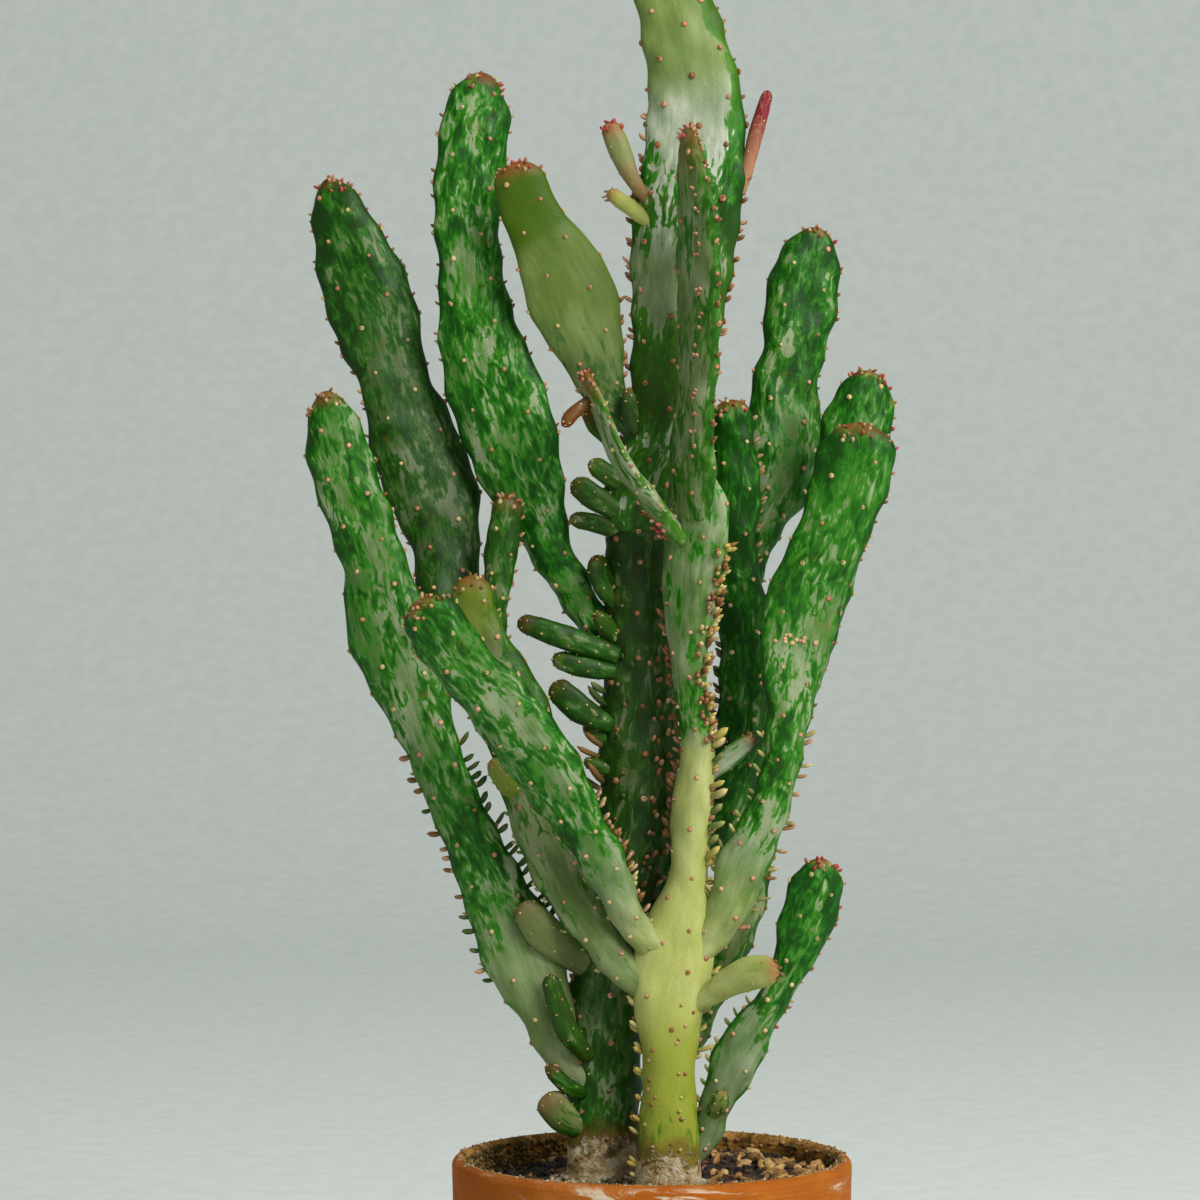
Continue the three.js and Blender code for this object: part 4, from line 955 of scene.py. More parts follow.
# The tall pad is the trunk's upper end, the highest thing on the plant. Its skin has lost most of
# its green: it is whitish in the middle, olive at the top and dark green in patches on the right.
pale_skin = skin_material(
    "pale_skin",
    sages=[(0.36, 112, 132, 96), (0.5, 158, 168, 144), (0.64, 200, 206, 190)],
    creams=[(0.36, 90, 114, 46), (0.5, 108, 130, 60), (0.64, 132, 148, 86)],
)
plant_piece(
    "tall_pad",
    [
        [-6, 9, 338, 9, 5], [-6, 9, 352, 10.6, 6], [-2.5, 9, 364, 12, 6], [5, 8, 380, 13.6, 5.5],
        [8, 8, 409, 14.4, 5.5, -4], [11, 8, 444, 18.5, 5, -8], [14.5, 8, 470, 18, 5, -8],
        [15.5, 9, 496, 16.4, 5, -4], [11.5, 9, 516, 14.4, 5], [6, 10, 538, 13, 4.6, 4],
        [-4, 11, 564, 11, 4, 8],
    ],
    tip=12, seed=131, columns=8, sides=72, felt=1.3, felt_kinds="brown pink",
    grain_kinds="brown pink",
    pale=(
        (0, 0.3), (0.1, 0.3), (0.17, 0.5), (0.22, 0.2), (0.32, 0.22), (0.38, 0.75), (0.45, 0.8),
        (0.48, 0.42), (0.55, 0.48), (0.6, 0.74), (0.65, 1), (1, 0.9),
    ),
    warm=(
        (0, 0.1), (0.33, 0.35), (0.44, 0.4), (0.5, 0.15), (0.56, 0), (0.66, 0.04), (0.74, 0.55),
        (1, 0.75),
    ),
    calm=((0, 0), (0.34, 0.2), (0.4, 0.6), (0.48, 0.05), (0.6, 0.3), (0.68, 0.8), (1, 0.9)),
    age=((0, 0.34), (0.3, 0.28), (0.4, 0.22), (0.46, 0.2), (0.57, 0.02), (1, 0.1)),
    right_pale=(
        (0, 0), (0.45, -0.4), (0.55, -0.75), (0.7, -0.85), (0.76, -0.3), (0.8, -1.5), (0.93, -1.5),
        (1, 0),
    ),
    skin=pale_skin, slot="pale_skin",
    crown=(6,),
    rows=[
        (7, 180, (0.16, 0.66), 17, (1.8, 3.2), (0.8, 1.2), "pink brown", 2),
        (8, 0, (0.35, 0.62), 9, (1.8, 3.4), (0.9, 1.3), "pink brown", 2),
        (9, 0, (0.66, 0.98), 9, (1, 1.8), (0.7, 1), "pink brown"),
    ],
    young=[
        young_pad([[-8, 7, 360, 2.2, 2], [-15, 5, 364, 3.4, 2], [-22, 4, 369, 2.8, 2]], 132),
        young_pad(
            [[-8, 7, 350, 2.4, 2], [-18, 5, 355, 4.2, 2.2], [-28, 4, 362, 3.4, 2]],
            133, pale=0.4,
        ),
        young_pad([[-10, 7, 343, 2, 2], [-19, 5, 347, 3, 2], [-29, 4, 349, 2.4, 2]], 134),
    ],
)

# The front stem comes out of the soil yellow-green, turns to clear yellow-cream where its arms
# leave it, and is green from its neck up. A column of buds stands on its right edge.
yellow_skin = skin_material(
    "yellow_skin", greens=[(0.28, 10, 70, 2), (0.4, 26, 104, 6), (0.5, 62, 136, 28)],
)
plant_piece(
    "front_stem",
    [
        [5.5, -13, 98, 12, 9], [5.5, -13, 130, 10.9, 8.4], [5.8, -12, 157, 9, 7.5],
        [5.6, -12, 176, 11.6, 7.5], [7, -12, 193, 13.9, 7.5, -6], [9.5, -12, 210, 10.6, 7, -12],
        [12.7, -12, 226, 6.6, 6, -30], [13.8, -12, 250, 8, 5, -40], [15.6, -12, 270, 6.2, 4.2, -44],
        [12.6, -12, 296, 6.8, 4.4, -44], [13, -12, 320, 11.4, 4.8, -40],
        [15.3, -13, 346, 13.4, 4.8, -40], [14, -14, 368, 11, 4.2, -46],
    ],
    tip=16, seed=141, sides=72, boss=0.6,
    pale=(
        (0, 0.56), (0.12, 0.6), (0.2, 0.7), (0.3, 0.95), (0.5, 1.2), (0.62, 1.1), (0.66, 0.45),
        (0.73, 0.78), (1, 0.72),
    ),
    warm=((0, 1), (0.24, 0.95), (0.34, 0.7), (0.5, 0.5), (0.62, 0.5), (0.66, 0.12), (1, 0.05)),
    calm=((0, 0.75), (0.35, 0.9), (0.62, 0.8), (0.68, 0.1), (1, 0.1)), edge_pale=-0.05,
    cork=((0, 1), (0.062, 1), (0.155, 0), (1, 0)), blush=0, felt=0.95, felt_kinds="pink brown",
    skin=yellow_skin, slot="yellow_skin",
    rows=[
        (11, 0, (0.24, 0.44), 8, (2.2, 3.6), (0.9, 1.4), "cream yellow", 2),
        (12, 0, (0.46, 0.65), 11, (4.5, 8.5), (1.2, 2.1), "yellow cream fresh", 1, 0.25),
        (13, 5, (0.46, 0.65), 9, (1.8, 3.4), (0.9, 1.3), "yellow pink", 2, 0.25),
        (14, 0, (0.64, 0.9), 20, (1.8, 4.2), (0.8, 1.4), "brown yellow cream", 3, 0.2),
        (15, 335, (0.64, 0.88), 14, (1.6, 3.2), (0.7, 1.3), "pink brown cream", 3, 0.2),
        (16, 15, (0.66, 0.86), 12, (2, 3.8), (0.8, 1.4), "cream brown", 2, 0.2),
        (17, 185, (0.08, 0.38), 12, (2.2, 4), (1, 1.5), "cream yellow", 2),
        (18, 190, (0.5, 0.8), 18, (2.2, 4.2), (0.9, 1.4), "pink brown", 2),
        (19, 290, (0.12, 0.3), 6, (0.8, 1.4), (0.7, 1), "yellow"),
        (20, 0, (0.06, 0.24), 4, (4, 7), (1.2, 1.8), "brown yellow", 1, 0.3),
        (68, 268, (0.08, 0.3), 11, (0.2, 0.7), (1, 1.5), "brown pink", 1, 0.4, 66),
    ],
)

# The upper fin is the front stem's last pad, thin and seen nearly edge on. It is greyer than the
# pads round it and hides part of the tall pad.
plant_piece(
    "upper_fin",
    [
        [14, -14, 348, 8, 4, -48], [13.5, -15, 362, 12, 4.2, -56], [14.5, -15, 384, 12.6, 3.8, -62],
        [15.6, -15, 406, 12.6, 3.6, -62], [16, -15, 430, 12.8, 3.6, -62],
        [15.3, -15, 452, 12, 3.6, -62], [13.6, -14, 470, 7.6, 3, -60],
        [12.6, -13, 485, 3.4, 2, -60],
    ],
    tip=9, seed=151, pale=((0, 0.6), (0.5, 0.68), (1, 0.55)), warm=0.15, calm=0.4, age=0.2,
    blush=((0.85, 0), (1, 0.7)), felt_kinds="pink", grain_kinds="pink crimson", grain_share=1,
    crown=(21,),
    rows=[
        (22, 0, (0.2, 0.95), 15, (1.2, 2.2), (0.7, 1), "pink brown", 2),
        (23, 300, (0.15, 0.9), 13, (0.9, 1.6), (0.6, 0.9), "pink", 2),
    ],
)

# The left arm leaves the trunk low down and swings up and out in three pads. Small leaves stand
# out of both its edges like teeth.
plant_piece(
    "left_arm",
    [
        [-22, 7, 146, 5, 4.2], [-30.5, 5, 160, 7, 5], [-37.2, 3, 177, 9.6, 5.5, 4],
        [-45, 2, 196, 14.2, 5.5, 4], [-54, 1, 215, 11.6, 5.5, 4], [-62, 0, 234, 9.3, 5, 4],
        [-71, -1, 253, 8.9, 4.6], [-78, -2, 273, 9.8, 5, -6], [-85, -3, 293, 14.1, 5.5, -10],
        [-92, -4, 312, 14.8, 5.5, -10], [-97, -5, 333, 11, 4.8, -6], [-103.3, -6, 352, 11, 4.8],
        [-109.3, -7, 372, 10.6, 4.5], [-114, -8, 393, 5.8, 3.6],
    ],
    tip=12, seed=161,
    pale=(
        (0, 0.9), (0.2, 0.9), (0.27, 0.6), (0.36, 0.35), (0.5, 0.5), (0.62, 0.55), (0.8, 0.5),
        (1, 0.45),
    ),
    calm=((0, 0.7), (0.2, 0.6), (0.3, 0), (1, 0)), warm=((0, 0.2), (0.2, 0.15), (0.3, 0), (1, 0)),
    age=0.14, right_pale=0.06,
    crown=(24, "pink brown"),
    rows=[
        (25, 180, (0.2, 0.5), 14, (2.6, 4.2), (1.1, 1.6), "pink brown green", 1, 0.1),
        (26, 0, (0.24, 0.5), 17, (3.4, 5.4), (1.2, 1.7), "green", 1, 0.2),
        (27, 0, (0.56, 0.9), 12, (0.8, 1.6), (0.6, 0.9), "pink brown"),
    ],
)

# Two pads, one on the other, leave the left arm's second pad and stand behind its third.
plant_piece(
    "left_rear_pads",
    [
        [-80, 0, 292, 6, 4, 6], [-76, 9, 307, 8.4, 4.8, 8], [-72, 14, 323, 11, 5, 8],
        [-73, 18, 339, 11.6, 5, 8], [-77.5, 21, 358, 16, 5.2, 12], [-85.4, 23, 380, 15.6, 5, 12],
        [-91, 24, 397, 12.2, 4.5, 12], [-98, 25, 420, 15.1, 5, 6], [-104, 26, 436, 14.7, 5],
        [-110, 27, 454, 11, 4.5, -8], [-115.5, 28, 471, 6.5, 4, -8],
    ],
    tip=14, seed=171, pale=((0, 0.35), (0.3, 0.42), (0.6, 0.42), (0.85, 0.28), (1, 0.2)),
    # Painted shade: these pads are darkened for the shade of the pads in front of them, as well as
    # for older skin.
    age=((0, 0.6), (0.6, 0.6), (0.85, 0.4), (1, 0.32)),
    crown=(28,),
    rows=[
        (29, 0, (0.75, 0.98), 9, (0.9, 1.6), (0.6, 0.9), "crimson pink"),
        (30, 180, (0.3, 0.95), 14, (0.9, 1.8), (0.6, 0.9), "pink brown"),
    ],
)

# The tall left pad leaves the trunk by a narrow foot, and is a broad pad with a slim one on it.
plant_piece(
    "tall_left_pad",
    [
        [-9, 9, 300, 5, 4], [-19, 10, 310, 5.2, 4.4], [-28, 11, 325, 6.2, 4.6, -6],
        [-37, 11, 341, 8, 4.8, -10], [-43.8, 11, 359, 13.4, 5.2, -14],
        [-50, 11, 379, 16.5, 5.4, -14], [-56, 11, 396, 16.8, 5.2, -12], [-61, 12, 414, 14.1, 5, -8],
        [-64.5, 14, 440, 10.8, 4.8, 4], [-65, 15, 464, 11.5, 4.8, 10],
        [-62.5, 15, 488, 12, 4.6, 10], [-59.5, 15, 507, 8.8, 4, 10],
    ],
    tip=15, seed=181,
    pale=((0, 0.45), (0.15, 0.5), (0.35, 0.45), (0.7, 0.4), (0.9, 0.36), (1, 0.3)),
    crown=(31, "crimson pink", 18),
    rows=[
        (32, 180, (0.5, 0.97), 11, (1, 1.8), (0.6, 0.9), "pink brown"),
        (33, 0, (0.4, 0.97), 12, (0.9, 1.6), (0.6, 0.9), "pink brown"),
    ],
)

# The cream pad is young and nearly plain olive, with a small head of new growth on it.
olive_skin = skin_material(
    "olive_skin", ripe=(60, 88, 2),
    greens=[(0.26, 14, 50, 22), (0.38, 26, 66, 32), (0.5, 58, 92, 46)],
    sages=[(0.36, 78, 98, 50), (0.5, 98, 116, 64), (0.64, 124, 140, 94)],
    creams=[(0.36, 68, 89, 28), (0.5, 84, 105, 38), (0.64, 106, 122, 60)],
)
plant_piece(
    "cream_pad",
    [
        [-2, 8, 376, 4, 3], [-10, 7, 385, 4.8, 3.2], [-16.8, 5, 395, 7.8, 3.4],
        [-22.3, 2.5, 411, 12.6, 3.8, 6], [-27.5, 0.5, 425, 15.8, 4, 8],
        [-34, -2, 440, 13.6, 3.8, 8], [-40, -3, 450, 10.4, 3.4, 4], [-45, -4, 462, 9.4, 3.2],
        [-48.3, -5, 473, 8.2, 3],
    ],
    tip=7, seed=191, boss=0.5, pale=((0, 0.45), (0.3, 0.62), (0.46, 0.85), (1, 0.85)),
    warm=((0, 0.2), (0.35, 0.25), (0.5, 0.5), (0.7, 0.6), (0.77, 1), (1, 1)),
    calm=((0, 0.3), (0.5, 0.7), (1, 0.85)), blush=((0.94, 0), (1, 0.8)), edge_pale=-0.1,
    skin=olive_skin, slot="pale_skin",
    crown=(34, "crimson pink", 12),
    rows=[(35, 0, (0.12, 0.45), 8, (1.4, 2.8), (0.8, 1.2), "pink brown", 2)],
    young=[
        young_pad(
            [[-6, 3, 379, 2, 1.8, 10], [-7.5, 0, 386, 2.8, 1.8, 10], [-8.5, -1, 394, 2.2, 1.6, 10]],
            192,
        ),
    ],
)

# A thin pad seen edge on leaves the front stem's left edge. Red buds crowd where it leaves.
plant_piece(
    "edge_on_pad",
    [
        [11, -13, 340, 3.4, 3, -70], [5, -14, 347, 4.6, 3.2, -74], [-1, -16.5, 355, 7, 3, -76],
        [-8, -18.5, 363.5, 9, 2.6, -78], [-13.5, -19, 373, 9.4, 2.2, -78],
        [-18.5, -18, 386, 8, 2.2, -78], [-24, -17, 399, 5.4, 1.8, -78],
    ],
    tip=5, seed=201, sides=48, boss=0.5, pale=0.75, warm=0.4, calm=0.4, age=0.1,
    blush=((0.8, 0), (1, 0.9)),
    skin=pale_skin, slot="pale_skin",
    crown=(36,),
    rows=[
        (37, 250, (0.06, 0.22), 9, (1.8, 3), (0.9, 1.3), "crimson pink", 1, 0.4, 50),
        (38, 0, (0.2, 0.95), 11, (0.9, 1.8), (0.6, 0.9), "pink cream"),
        (39, 180, (0.2, 0.95), 9, (0.9, 1.8), (0.6, 0.9), "pink brown"),
    ],
    young=[
        young_pad(
            [[-16, -16, 376, 2.2, 2], [-19.5, -14, 382, 3.6, 2], [-22.5, -13, 389, 3, 1.6]],
            202, pale=0.25, blush=((0.4, 0), (1, 0.8)),
        ),
        young_pad(
            [[-22, -18, 389, 2, 1.8], [-27, -20, 385, 2, 1.7], [-31, -21, 380, 1.6, 1.4]],
            203, tip=3, blush=((0, 0.5), (1, 0.9)),
        ),
    ],
)

# Two long pads leave the front stem's left shoulder. The nearer one leans out to the viewer, and
# the greyer one behind it has a narrow small pad behind its own upper end.
plant_piece(
    "front_left_pad",
    [
        [7, -13, 195, 4.5, 4], [-5, -15, 205, 5, 3.8, -4], [-11, -20, 217, 5.9, 4.6, -6],
        [-17, -23, 230, 7.4, 4.8, -8], [-24, -27, 242, 7.8, 4.8, -10],
        [-31, -30, 254, 10.3, 5, -12], [-42, -35.5, 271, 12, 5.2, -14],
        [-55, -40, 288, 10.6, 5, -12], [-64, -44, 298, 9.5, 4.8, -10], [-72, -47, 309, 10, 4.8, -8],
        [-80, -50, 320, 8, 4.2, -8],
    ],
    tip=8, seed=211, age=0.12,
    pale=((0, 1.0), (0.2, 0.95), (0.3, 0.6), (0.45, 0.5), (0.7, 0.6), (0.85, 0.45), (1, 0.35)),
    warm=((0, 0.5), (0.14, 0.3), (0.25, 0), (1, 0)),
    calm=((0, 0.8), (0.22, 0.6), (0.32, 0), (1, 0)),
    crown=(40, "pink brown"),
    rows=[
        (41, 0, (0.14, 0.42), 12, (1.6, 3.8), (0.8, 1.2), "pink cream brown", 2, 0.2),
        (42, 180, (0.2, 0.9), 13, (0.8, 1.5), (0.6, 0.9), "cream pink"),
    ],
)
grey_skin = skin_material(
    "grey_green_skin", ripe=(104, 128, 22),
    greens=[(0.28, 12, 58, 2), (0.4, 30, 88, 6), (0.5, 62, 116, 28)],
    sages=[(0.38, 86, 110, 54), (0.5, 112, 130, 80), (0.62, 136, 150, 104)],
    creams=[(0.36, 96, 114, 40), (0.5, 116, 132, 52), (0.64, 134, 148, 70)],
)
plant_piece(
    "long_left_pad",
    [
        [6, -12, 183, 4.5, 3.6], [-7, -12, 189, 5.2, 4], [-15, -11.5, 199, 5.8, 4.4],
        [-23, -11, 210, 7.2, 4.6], [-31, -9.5, 223, 8.6, 4.6, 4], [-38, -8, 242, 10.6, 4.8, 6],
        [-43, -6, 262, 11.5, 4.8, 6], [-46.5, -5, 277, 12.1, 4.8, 4], [-51, -3, 289, 11, 4.6],
        [-57, -3, 301, 8.9, 4.4], [-61.5, -4, 314, 7.6, 4], [-63, -5, 329, 6.4, 3.6],
    ],
    tip=8, seed=221,
    pale=((0, 1.0), (0.12, 0.95), (0.3, 0.8), (0.6, 0.6), (0.82, 0.6), (0.88, 0.75), (1, 0.75)),
    age=((0, 0.1), (0.3, 0.25), (0.8, 0.25), (0.9, 0.28), (1, 0.28)),
    warm=((0, 0.25), (0.2, 0.1), (0.84, 0.1), (0.9, 0.8), (1, 0.95)),
    calm=((0, 0.8), (0.25, 0.4), (0.8, 0.2), (0.9, 0.8), (1, 0.8)), blush=((0.96, 0), (1, 0.8)),
    skin=grey_skin, slot="grey_green_skin",
    crown=(43, "pink brown"),
    rows=[
        (44, 180, (0.15, 0.9), 16, (1.2, 2.4), (0.7, 1.1), "cream fresh"),
        (45, 0, (0.2, 0.9), 12, (0.9, 1.8), (0.6, 0.9), "pink cream"),
    ],
    young=[
        young_pad(
            [[-46, -7, 252, 2.5, 2], [-50, -12, 257, 4, 2], [-56, -14, 265, 3, 2]],
            222, pale=0.8, warm=0.8, calm=0.8, age=0.15,
        ),
    ],
)
plant_piece(
    "inner_left_pad",
    [
        [-54, -2, 296, 3, 3], [-55, 1, 312, 3.4, 3], [-54, 2, 326, 4.5, 3], [-52.5, 2, 340, 5.8, 3],
        [-50, 2, 357, 4.4, 2.6],
    ],
    tip=5, seed=231, sides=40, pale=0.4, warm=0.12, age=0.42, blush=((0.88, 0), (1, 0.6)),
    crown=(46,),
    rows=[(47, 0, (0.3, 0.9), 7, (1, 1.8), (0.6, 0.9), "pink")],
)

# Behind the front stem on the right stand a narrow dark column and, from its back, a broad pad.
plant_piece(
    "right_column",
    [
        [-2, 10, 216, 5, 4], [9, 12, 225, 6.4, 4.6], [20, 15, 238, 8, 5], [28.5, 17, 253, 9, 5.2],
        [32, 18, 271, 8.8, 5.2], [33, 19, 296, 8.4, 5], [32, 19, 321, 7.7, 4.8],
        [30, 19, 340, 7, 4.6], [30.5, 19, 357, 8, 4.6], [29.3, 19, 373, 7.4, 4.4],
        [28.5, 19, 391.5, 6.6, 4],
    ],
    tip=7, seed=241, pale=((0, 0.3), (0.5, 0.2), (1, 0.2)), age=((0, 0.3), (0.5, 0.1), (1, 0.05)),
    crown=(48,),
    rows=[
        (49, 0, (0.25, 0.97), 18, (1.4, 2.8), (0.7, 1.1), "pink fresh", 2),
        (50, 184, (0.4, 0.95), 24, (1.8, 3.6), (0.9, 1.4), "brown green", 2),
    ],
)
plant_piece(
    "right_rear_pad",
    [
        [32, 19, 314, 3, 2.6], [36, 25, 330, 3.6, 3.4], [40.8, 28, 347, 6, 4, 6],
        [46, 30, 360, 10.4, 4.6, 10], [48, 32, 378, 13.8, 4.8, 12], [48, 34, 394, 12, 4.6, 12],
        [51, 35, 409, 11, 4.4, 10], [54, 37, 427, 13.1, 4.6, 8], [57, 38, 441, 11.2, 4.4, 4],
        [60, 39, 454.5, 8, 4],
    ],
    tip=14, seed=251,
    pale=((0, 0.5), (0.25, 0.58), (0.45, 0.54), (0.6, 0.32), (0.8, 0.24), (1, 0.2)), age=0.12,
    crown=(51,),
    rows=[(52, 0, (0.5, 0.97), 10, (0.9, 1.8), (0.6, 0.9), "pink brown")],
)

# The right arm leaves the front stem's right shoulder, pale at its foot, and rises in two pads. A
# greener pad grows from the back of its lower one.
plant_piece(
    "right_arm",
    [
        [9, -13, 193, 4.5, 4], [19, -13.8, 202, 5.2, 3.8], [26, -16, 214, 6.9, 4.6],
        [31, -17, 228, 8.3, 4.8], [37, -18, 241, 7.2, 4.8, 6], [44, -19.5, 262, 6.3, 4.6, 10],
        [47, -21, 283, 8, 4.8, 14], [48, -22, 298, 11.1, 5, 14], [50.5, -23, 313, 13.4, 5.2, 14],
        [54.5, -24, 327, 12.4, 4.8, 10], [60, -25, 339, 12, 4.8, 6], [66, -26, 356, 12.8, 5],
        [70, -27, 370, 13, 4.8, -4], [71.5, -28, 381, 11.5, 4.2, -4],
    ],
    tip=12, seed=261,
    pale=(
        (0, 1.1), (0.18, 1.0), (0.27, 0.62), (0.36, 0.44), (0.5, 0.46), (0.6, 0.62), (0.7, 0.6),
        (0.8, 0.36), (1, 0.24),
    ),
    warm=((0, 0.5), (0.14, 0.3), (0.25, 0.05), (1, 0)),
    calm=((0, 0.8), (0.22, 0.5), (0.32, 0), (0.75, 0), (0.85, 0.4), (1, 0.4)), age=0.06,
    crown=(53, "crimson pink", 18),
    rows=[
        (54, 0, (0.12, 0.46), 13, (2.6, 5.2), (0.9, 1.3), "cream pink brown", 1, 0.25),
        (55, 180, (0.1, 0.44), 12, (1.8, 3.4), (0.8, 1.2), "cream fresh"),
        (56, 250, (0.609, 0.621), 11, (0.2, 0.6), (0.9, 1.6), "cream pink", 1, 0.4, 36),
        (57, 0, (0.5, 0.97), 13, (0.9, 1.8), (0.6, 0.9), "pink brown"),
    ],
)
plant_piece(
    "right_arm_rear_pad",
    [
        [48, -20, 280, 3.6, 3.2, 10], [52.8, -11, 290, 4.4, 3.8, 10], [58.2, -5, 306, 5, 4.2, 6],
        [63, -2, 321, 5.6, 4.4], [67, 1, 338, 6.6, 4.4], [69.5, 3, 356, 9.4, 4.6],
        [71, 4, 375, 12.2, 4.6], [74, 5, 388, 11, 4.4], [76, 6, 401, 8, 4],
    ],
    tip=11, seed=271, pale=((0, 0.5), (0.5, 0.4), (1, 0.3)),
    crown=(58, "crimson pink", 18),
    rows=[(59, 0, (0.75, 0.97), 7, (1, 1.6), (0.7, 1), "crimson pink")],
)

# Low down on the right are a small grey-green pad behind the right arm's foot, and the lowest pad,
# which leaves the front stem just above the soil.
plant_piece(
    "low_grey_pad",
    [
        [8, -8, 158, 3.4, 3], [14.5, 0, 166, 3.6, 3.2], [20, 5, 180, 4.4, 3.6],
        [25.5, 9, 192, 5.8, 4], [30, 11, 206, 7.1, 4.2], [34, 12, 218, 6.6, 4],
        [37, 13, 229, 5.4, 3.4],
    ],
    tip=6, seed=281, sides=48, pale=((0, 0.7), (0.5, 0.7), (1, 0.5)), age=0.15,
    skin=grey_skin, slot="grey_green_skin",
    crown=(60, "brown pink"),
)
plant_piece(
    "low_right_pad",
    [
        [10, -11, 124, 4, 3.6], [18, -10, 134, 4.6, 3.8], [22, -11, 145, 5.2, 4],
        [28, -13, 159, 7.8, 4.4], [32.5, -14, 169, 7.5, 4.4], [41, -16, 181, 5.3, 4, 4],
        [47, -18, 193, 6.1, 4, 6], [52.5, -20.5, 208, 8.9, 4.4, 8], [56, -22.5, 220, 9, 4.2, 8],
        [58.5, -24, 231.5, 6.6, 3.6, 8],
    ],
    tip=11, seed=291, pale=((0, 0.8), (0.4, 0.8), (0.55, 0.6), (0.66, 0.34), (1, 0.32)),
    age=((0, 0.32), (0.5, 0.14), (0.6, 0), (1, 0)), calm=((0, 0.6), (0.45, 0.4), (0.6, 0), (1, 0)),
    crown=(61,),
    rows=[
        (62, 180, (0.2, 0.5), 8, (1.8, 3.2), (0.8, 1.2), "cream fresh"),
        (63, 0, (0.5, 0.97), 11, (0.9, 1.8), (0.6, 0.9), "crimson pink"),
    ],
    young=[
        young_pad(
            [[20, -12, 141, 2, 1.8], [23, -16, 146, 2.8, 1.8], [24, -18, 151, 2.2, 1.6]],
            292, pale=0.7, warm=0.4, age=0.3,
        ),
    ],
)

# Two thin young leaves stand on the right of the front stem, cream with browned tips.
LEAF_LOOK = {"ring_spacing": 5.5, "felt": 0.45, "pale": 1.1, "warm": 0.5, "calm": 0.7, "age": 0.0}
plant_piece(
    "cream_leaf",
    [
        [14, -14, 180, 2.8, 2], [20, -17, 184, 3.8, 2.2], [27, -22, 189, 5, 2.2],
        [34, -26, 192.3, 5.8, 2.2], [43, -30, 194, 4.6, 1.8],
    ],
    tip=5, seed=301, sides=40, boss=0.4, blush=((0.85, 0), (1, 0.9)), **LEAF_LOOK,
    skin=yellow_skin, slot="pale_skin",
    crown=(64, "brown", 4),
)
plant_piece(
    "small_leaf",
    [
        [16, -12, 257, 1.8, 1.6], [21, -13, 261, 2.6, 1.8], [28, -14, 267, 3.4, 1.8],
        [34.5, -15, 273, 2.2, 1.5],
    ],
    tip=3, seed=311, sides=32, spacing=0.9, boss=0.3, blush=((0.85, 0), (1, 0.7)),
    **{**LEAF_LOOK, "pale": 0.68, "warm": 0.2, "age": 0.1},
    skin=pale_skin, slot="pale_skin",
    crown=(65, "brown cream", 4),
)

# Three long young buds at the tall pad's edges: a thin crimson one, a red-tipped one and a yellow
# one. Their skins are thin and smooth.
RED_STOPS = [(0.3, 136, 88, 58), (0.5, 152, 104, 72), (0.7, 172, 130, 94)]
red_skin = skin_material("red_bud_skin", greens=RED_STOPS, sages=RED_STOPS, young=(122, 28, 46))
BUD_LOOK = {"tip": 3, "spacing": 0.8, "sides": 28, "boss": 0.3, "ring_spacing": 4, "felt": 0.35}
plant_piece(
    "long_red_bud",
    [
        [31, 6, 463, 1.8, 1.8], [33.5, 6, 472, 2.1, 2], [37, 6, 486, 2.4, 2.1],
        [41, 6, 499.5, 1.7, 1.5],
    ],
    seed=321, pale=1.2, blush=((0, 0.1), (0.5, 0.45), (0.75, 1), (1, 1)), **BUD_LOOK,
    skin=red_skin, slot="red_bud",
)
plant_piece(
    "red_tipped_bud",
    [
        [-1, 8, 461, 1.8, 1.8], [-6.5, 7, 468, 2.5, 2.2], [-11.5, 7, 479, 3.9, 2.6],
        [-15.2, 7, 488.5, 3.1, 2.1],
    ],
    seed=331, pale=0.9, warm=0.5, calm=0.9,
    blush=((0, 0.6), (0.4, 0.4), (0.6, 0.1), (0.75, 0.15), (1, 1)), **BUD_LOOK,
    skin=pale_skin, slot="pale_skin",
    crown=(66, "crimson", 8, 0.12),
)
plant_piece(
    "yellow_bud",
    [[-1, 8, 453, 1.8, 1.8], [-7, 7, 458, 2.6, 2.2], [-15.5, 7, 464, 2.1, 1.9]],
    seed=341, pale=0.9, warm=0.8, calm=0.9, blush=((0, 0.2), (0.3, 0), (0.7, 0), (1, 0.8)),
    **BUD_LOOK,
    skin=yellow_skin, slot="yellow_skin",
    crown=(67, "pink", 4, 0.1),
)

# The studio: a sheet of pale paper that lies under the pot and sweeps up behind the plant, a pale
# surround, and one large soft light from the right, in front and above.
SWEEP_WIDTH = 18.0
SWEEP_FRONT = -8.0
SWEEP_BACK = 3.6
SWEEP_RADIUS = 1.5
SWEEP_HEIGHT = 4.0
ROOM_COLOUR = (1.0, 1.0, 0.98, 1)
ROOM_STRENGTH = 0.4
LIGHT_PLACE = (1.25, -1.5, 1.75)
LIGHT_AIM = (0.0, 0.0, 0.3)
LIGHT_WIDTH = 1.3
LIGHT_POWER = 66
LIGHT_COLOUR = (1.0, 0.98, 0.94)


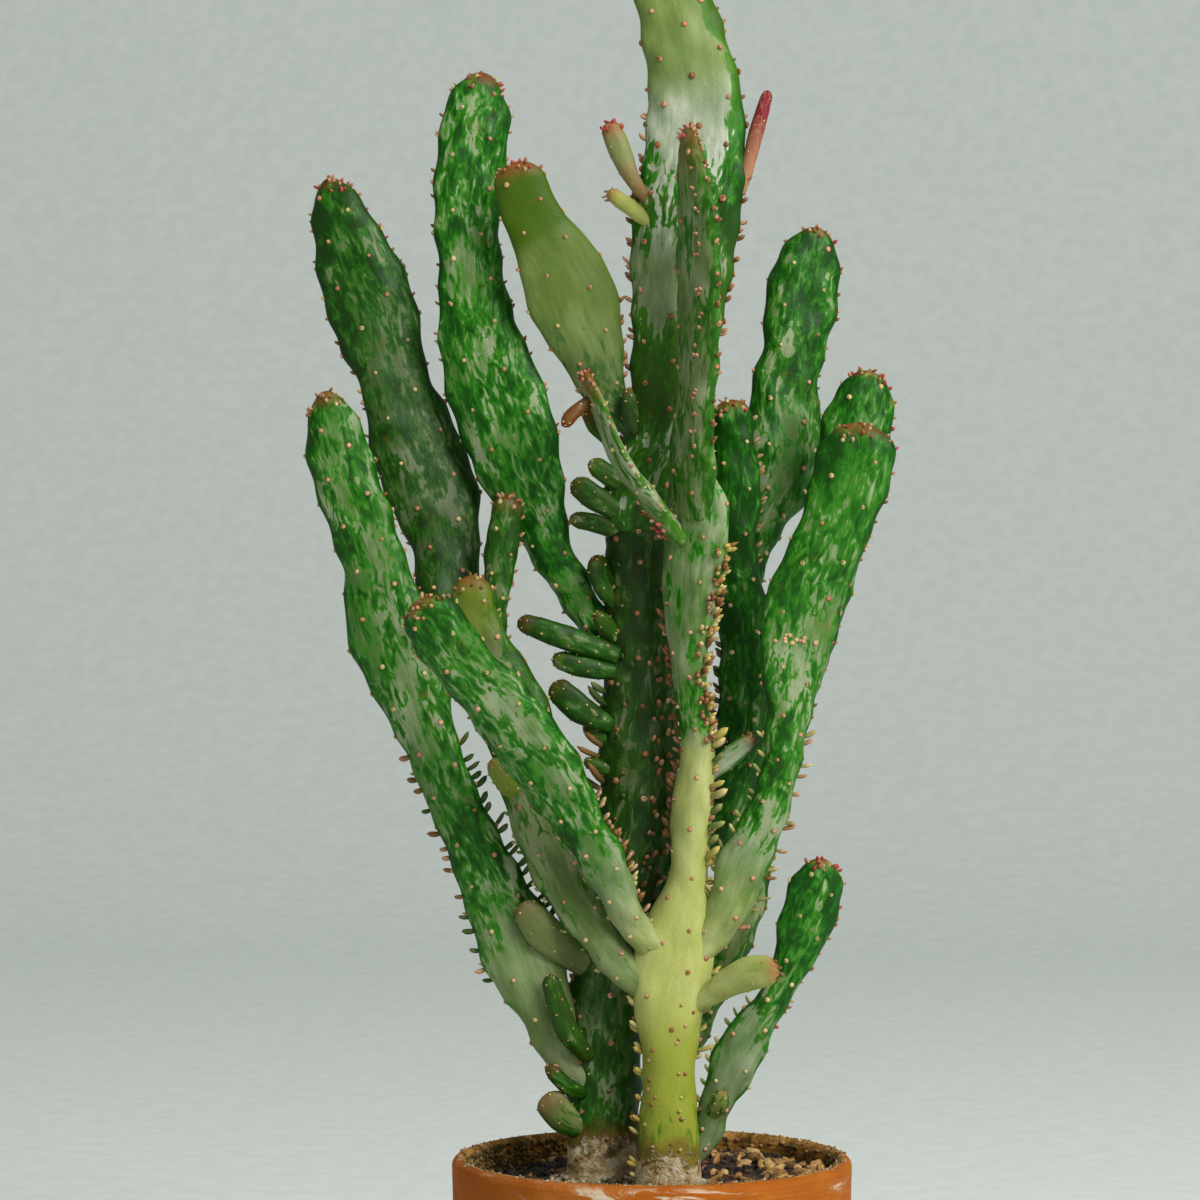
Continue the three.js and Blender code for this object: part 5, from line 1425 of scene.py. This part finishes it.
def sweep():
    """A sheet: a profile that runs back level, up through a quarter circle and straight on up,
    carried sideways."""
    quarter = np.linspace(0, np.pi / 2, 24)
    back = SWEEP_BACK - SWEEP_RADIUS + SWEEP_RADIUS * np.sin(quarter)
    up = SWEEP_RADIUS - SWEEP_RADIUS * np.cos(quarter)
    line = np.vstack([[SWEEP_FRONT, 0], np.stack([back, up], axis=-1), [SWEEP_BACK, SWEEP_HEIGHT]])
    left = np.column_stack([np.full(len(line), -SWEEP_WIDTH / 2), line])
    right = np.column_stack([np.full(len(line), SWEEP_WIDTH / 2), line])
    points = np.vstack([left, right])
    corner = np.arange(len(line) - 1)
    faces = np.stack([corner, corner + len(line), corner + len(line) + 1, corner + 1], axis=-1)
    mesh = bpy.data.meshes.new("studio_sweep")
    mesh.from_pydata(points.tolist(), [], faces.tolist())
    mesh.shade_smooth()
    return put_in_scene("studio_sweep", mesh)


def pale_paper():
    """Matt paper, almost even, with a faint grain in its colour and its relief."""
    material, tree, place = new_material("pale_paper")
    grain = noise(place, 60, detail=3)
    colour = mixed(eased(grain, 0.3, 0.7), paint(223, 231, 228), paint(229, 237, 233))
    finish(tree, colour, 0.9, grain, 0.0005)
    return material


backdrop = sweep()
backdrop.data.materials.append(pale_paper())

world = bpy.data.worlds.new("pale_room")
world.use_nodes = True
background = world.node_tree.nodes["Background"]
background.inputs["Color"].default_value = ROOM_COLOUR
background.inputs["Strength"].default_value = ROOM_STRENGTH
bpy.context.scene.world = world

soft_light = bpy.data.lights.new("soft_light", "AREA")
soft_light.shape = "DISK"
soft_light.size = LIGHT_WIDTH
soft_light.energy = LIGHT_POWER
soft_light.color = LIGHT_COLOUR
lamp = put_in_scene("soft_light", soft_light)
lamp.location = LIGHT_PLACE
aim = np.subtract(LIGHT_AIM, LIGHT_PLACE)
lamp.rotation_euler = (
    np.arccos(-aim[2] / np.linalg.norm(aim)), 0, np.arctan2(-aim[0], aim[1]),
)

# The camera looks level at the plant from in front, a little left of the pot's middle.
CAMERA_PLACE = (-0.0182, -1.33, 0.3203)
camera_data = bpy.data.cameras.new("camera")
camera_data.sensor_width = 36
camera_data.sensor_fit = "HORIZONTAL"
camera_data.lens = 114
camera_data.clip_start = 0.01
camera_data.clip_end = 50
camera = put_in_scene("camera", camera_data)
camera.location = CAMERA_PLACE
camera.rotation_euler = (np.pi / 2, 0, 0)
bpy.context.scene.camera = camera
bpy.context.scene.view_settings.view_transform = "Standard"
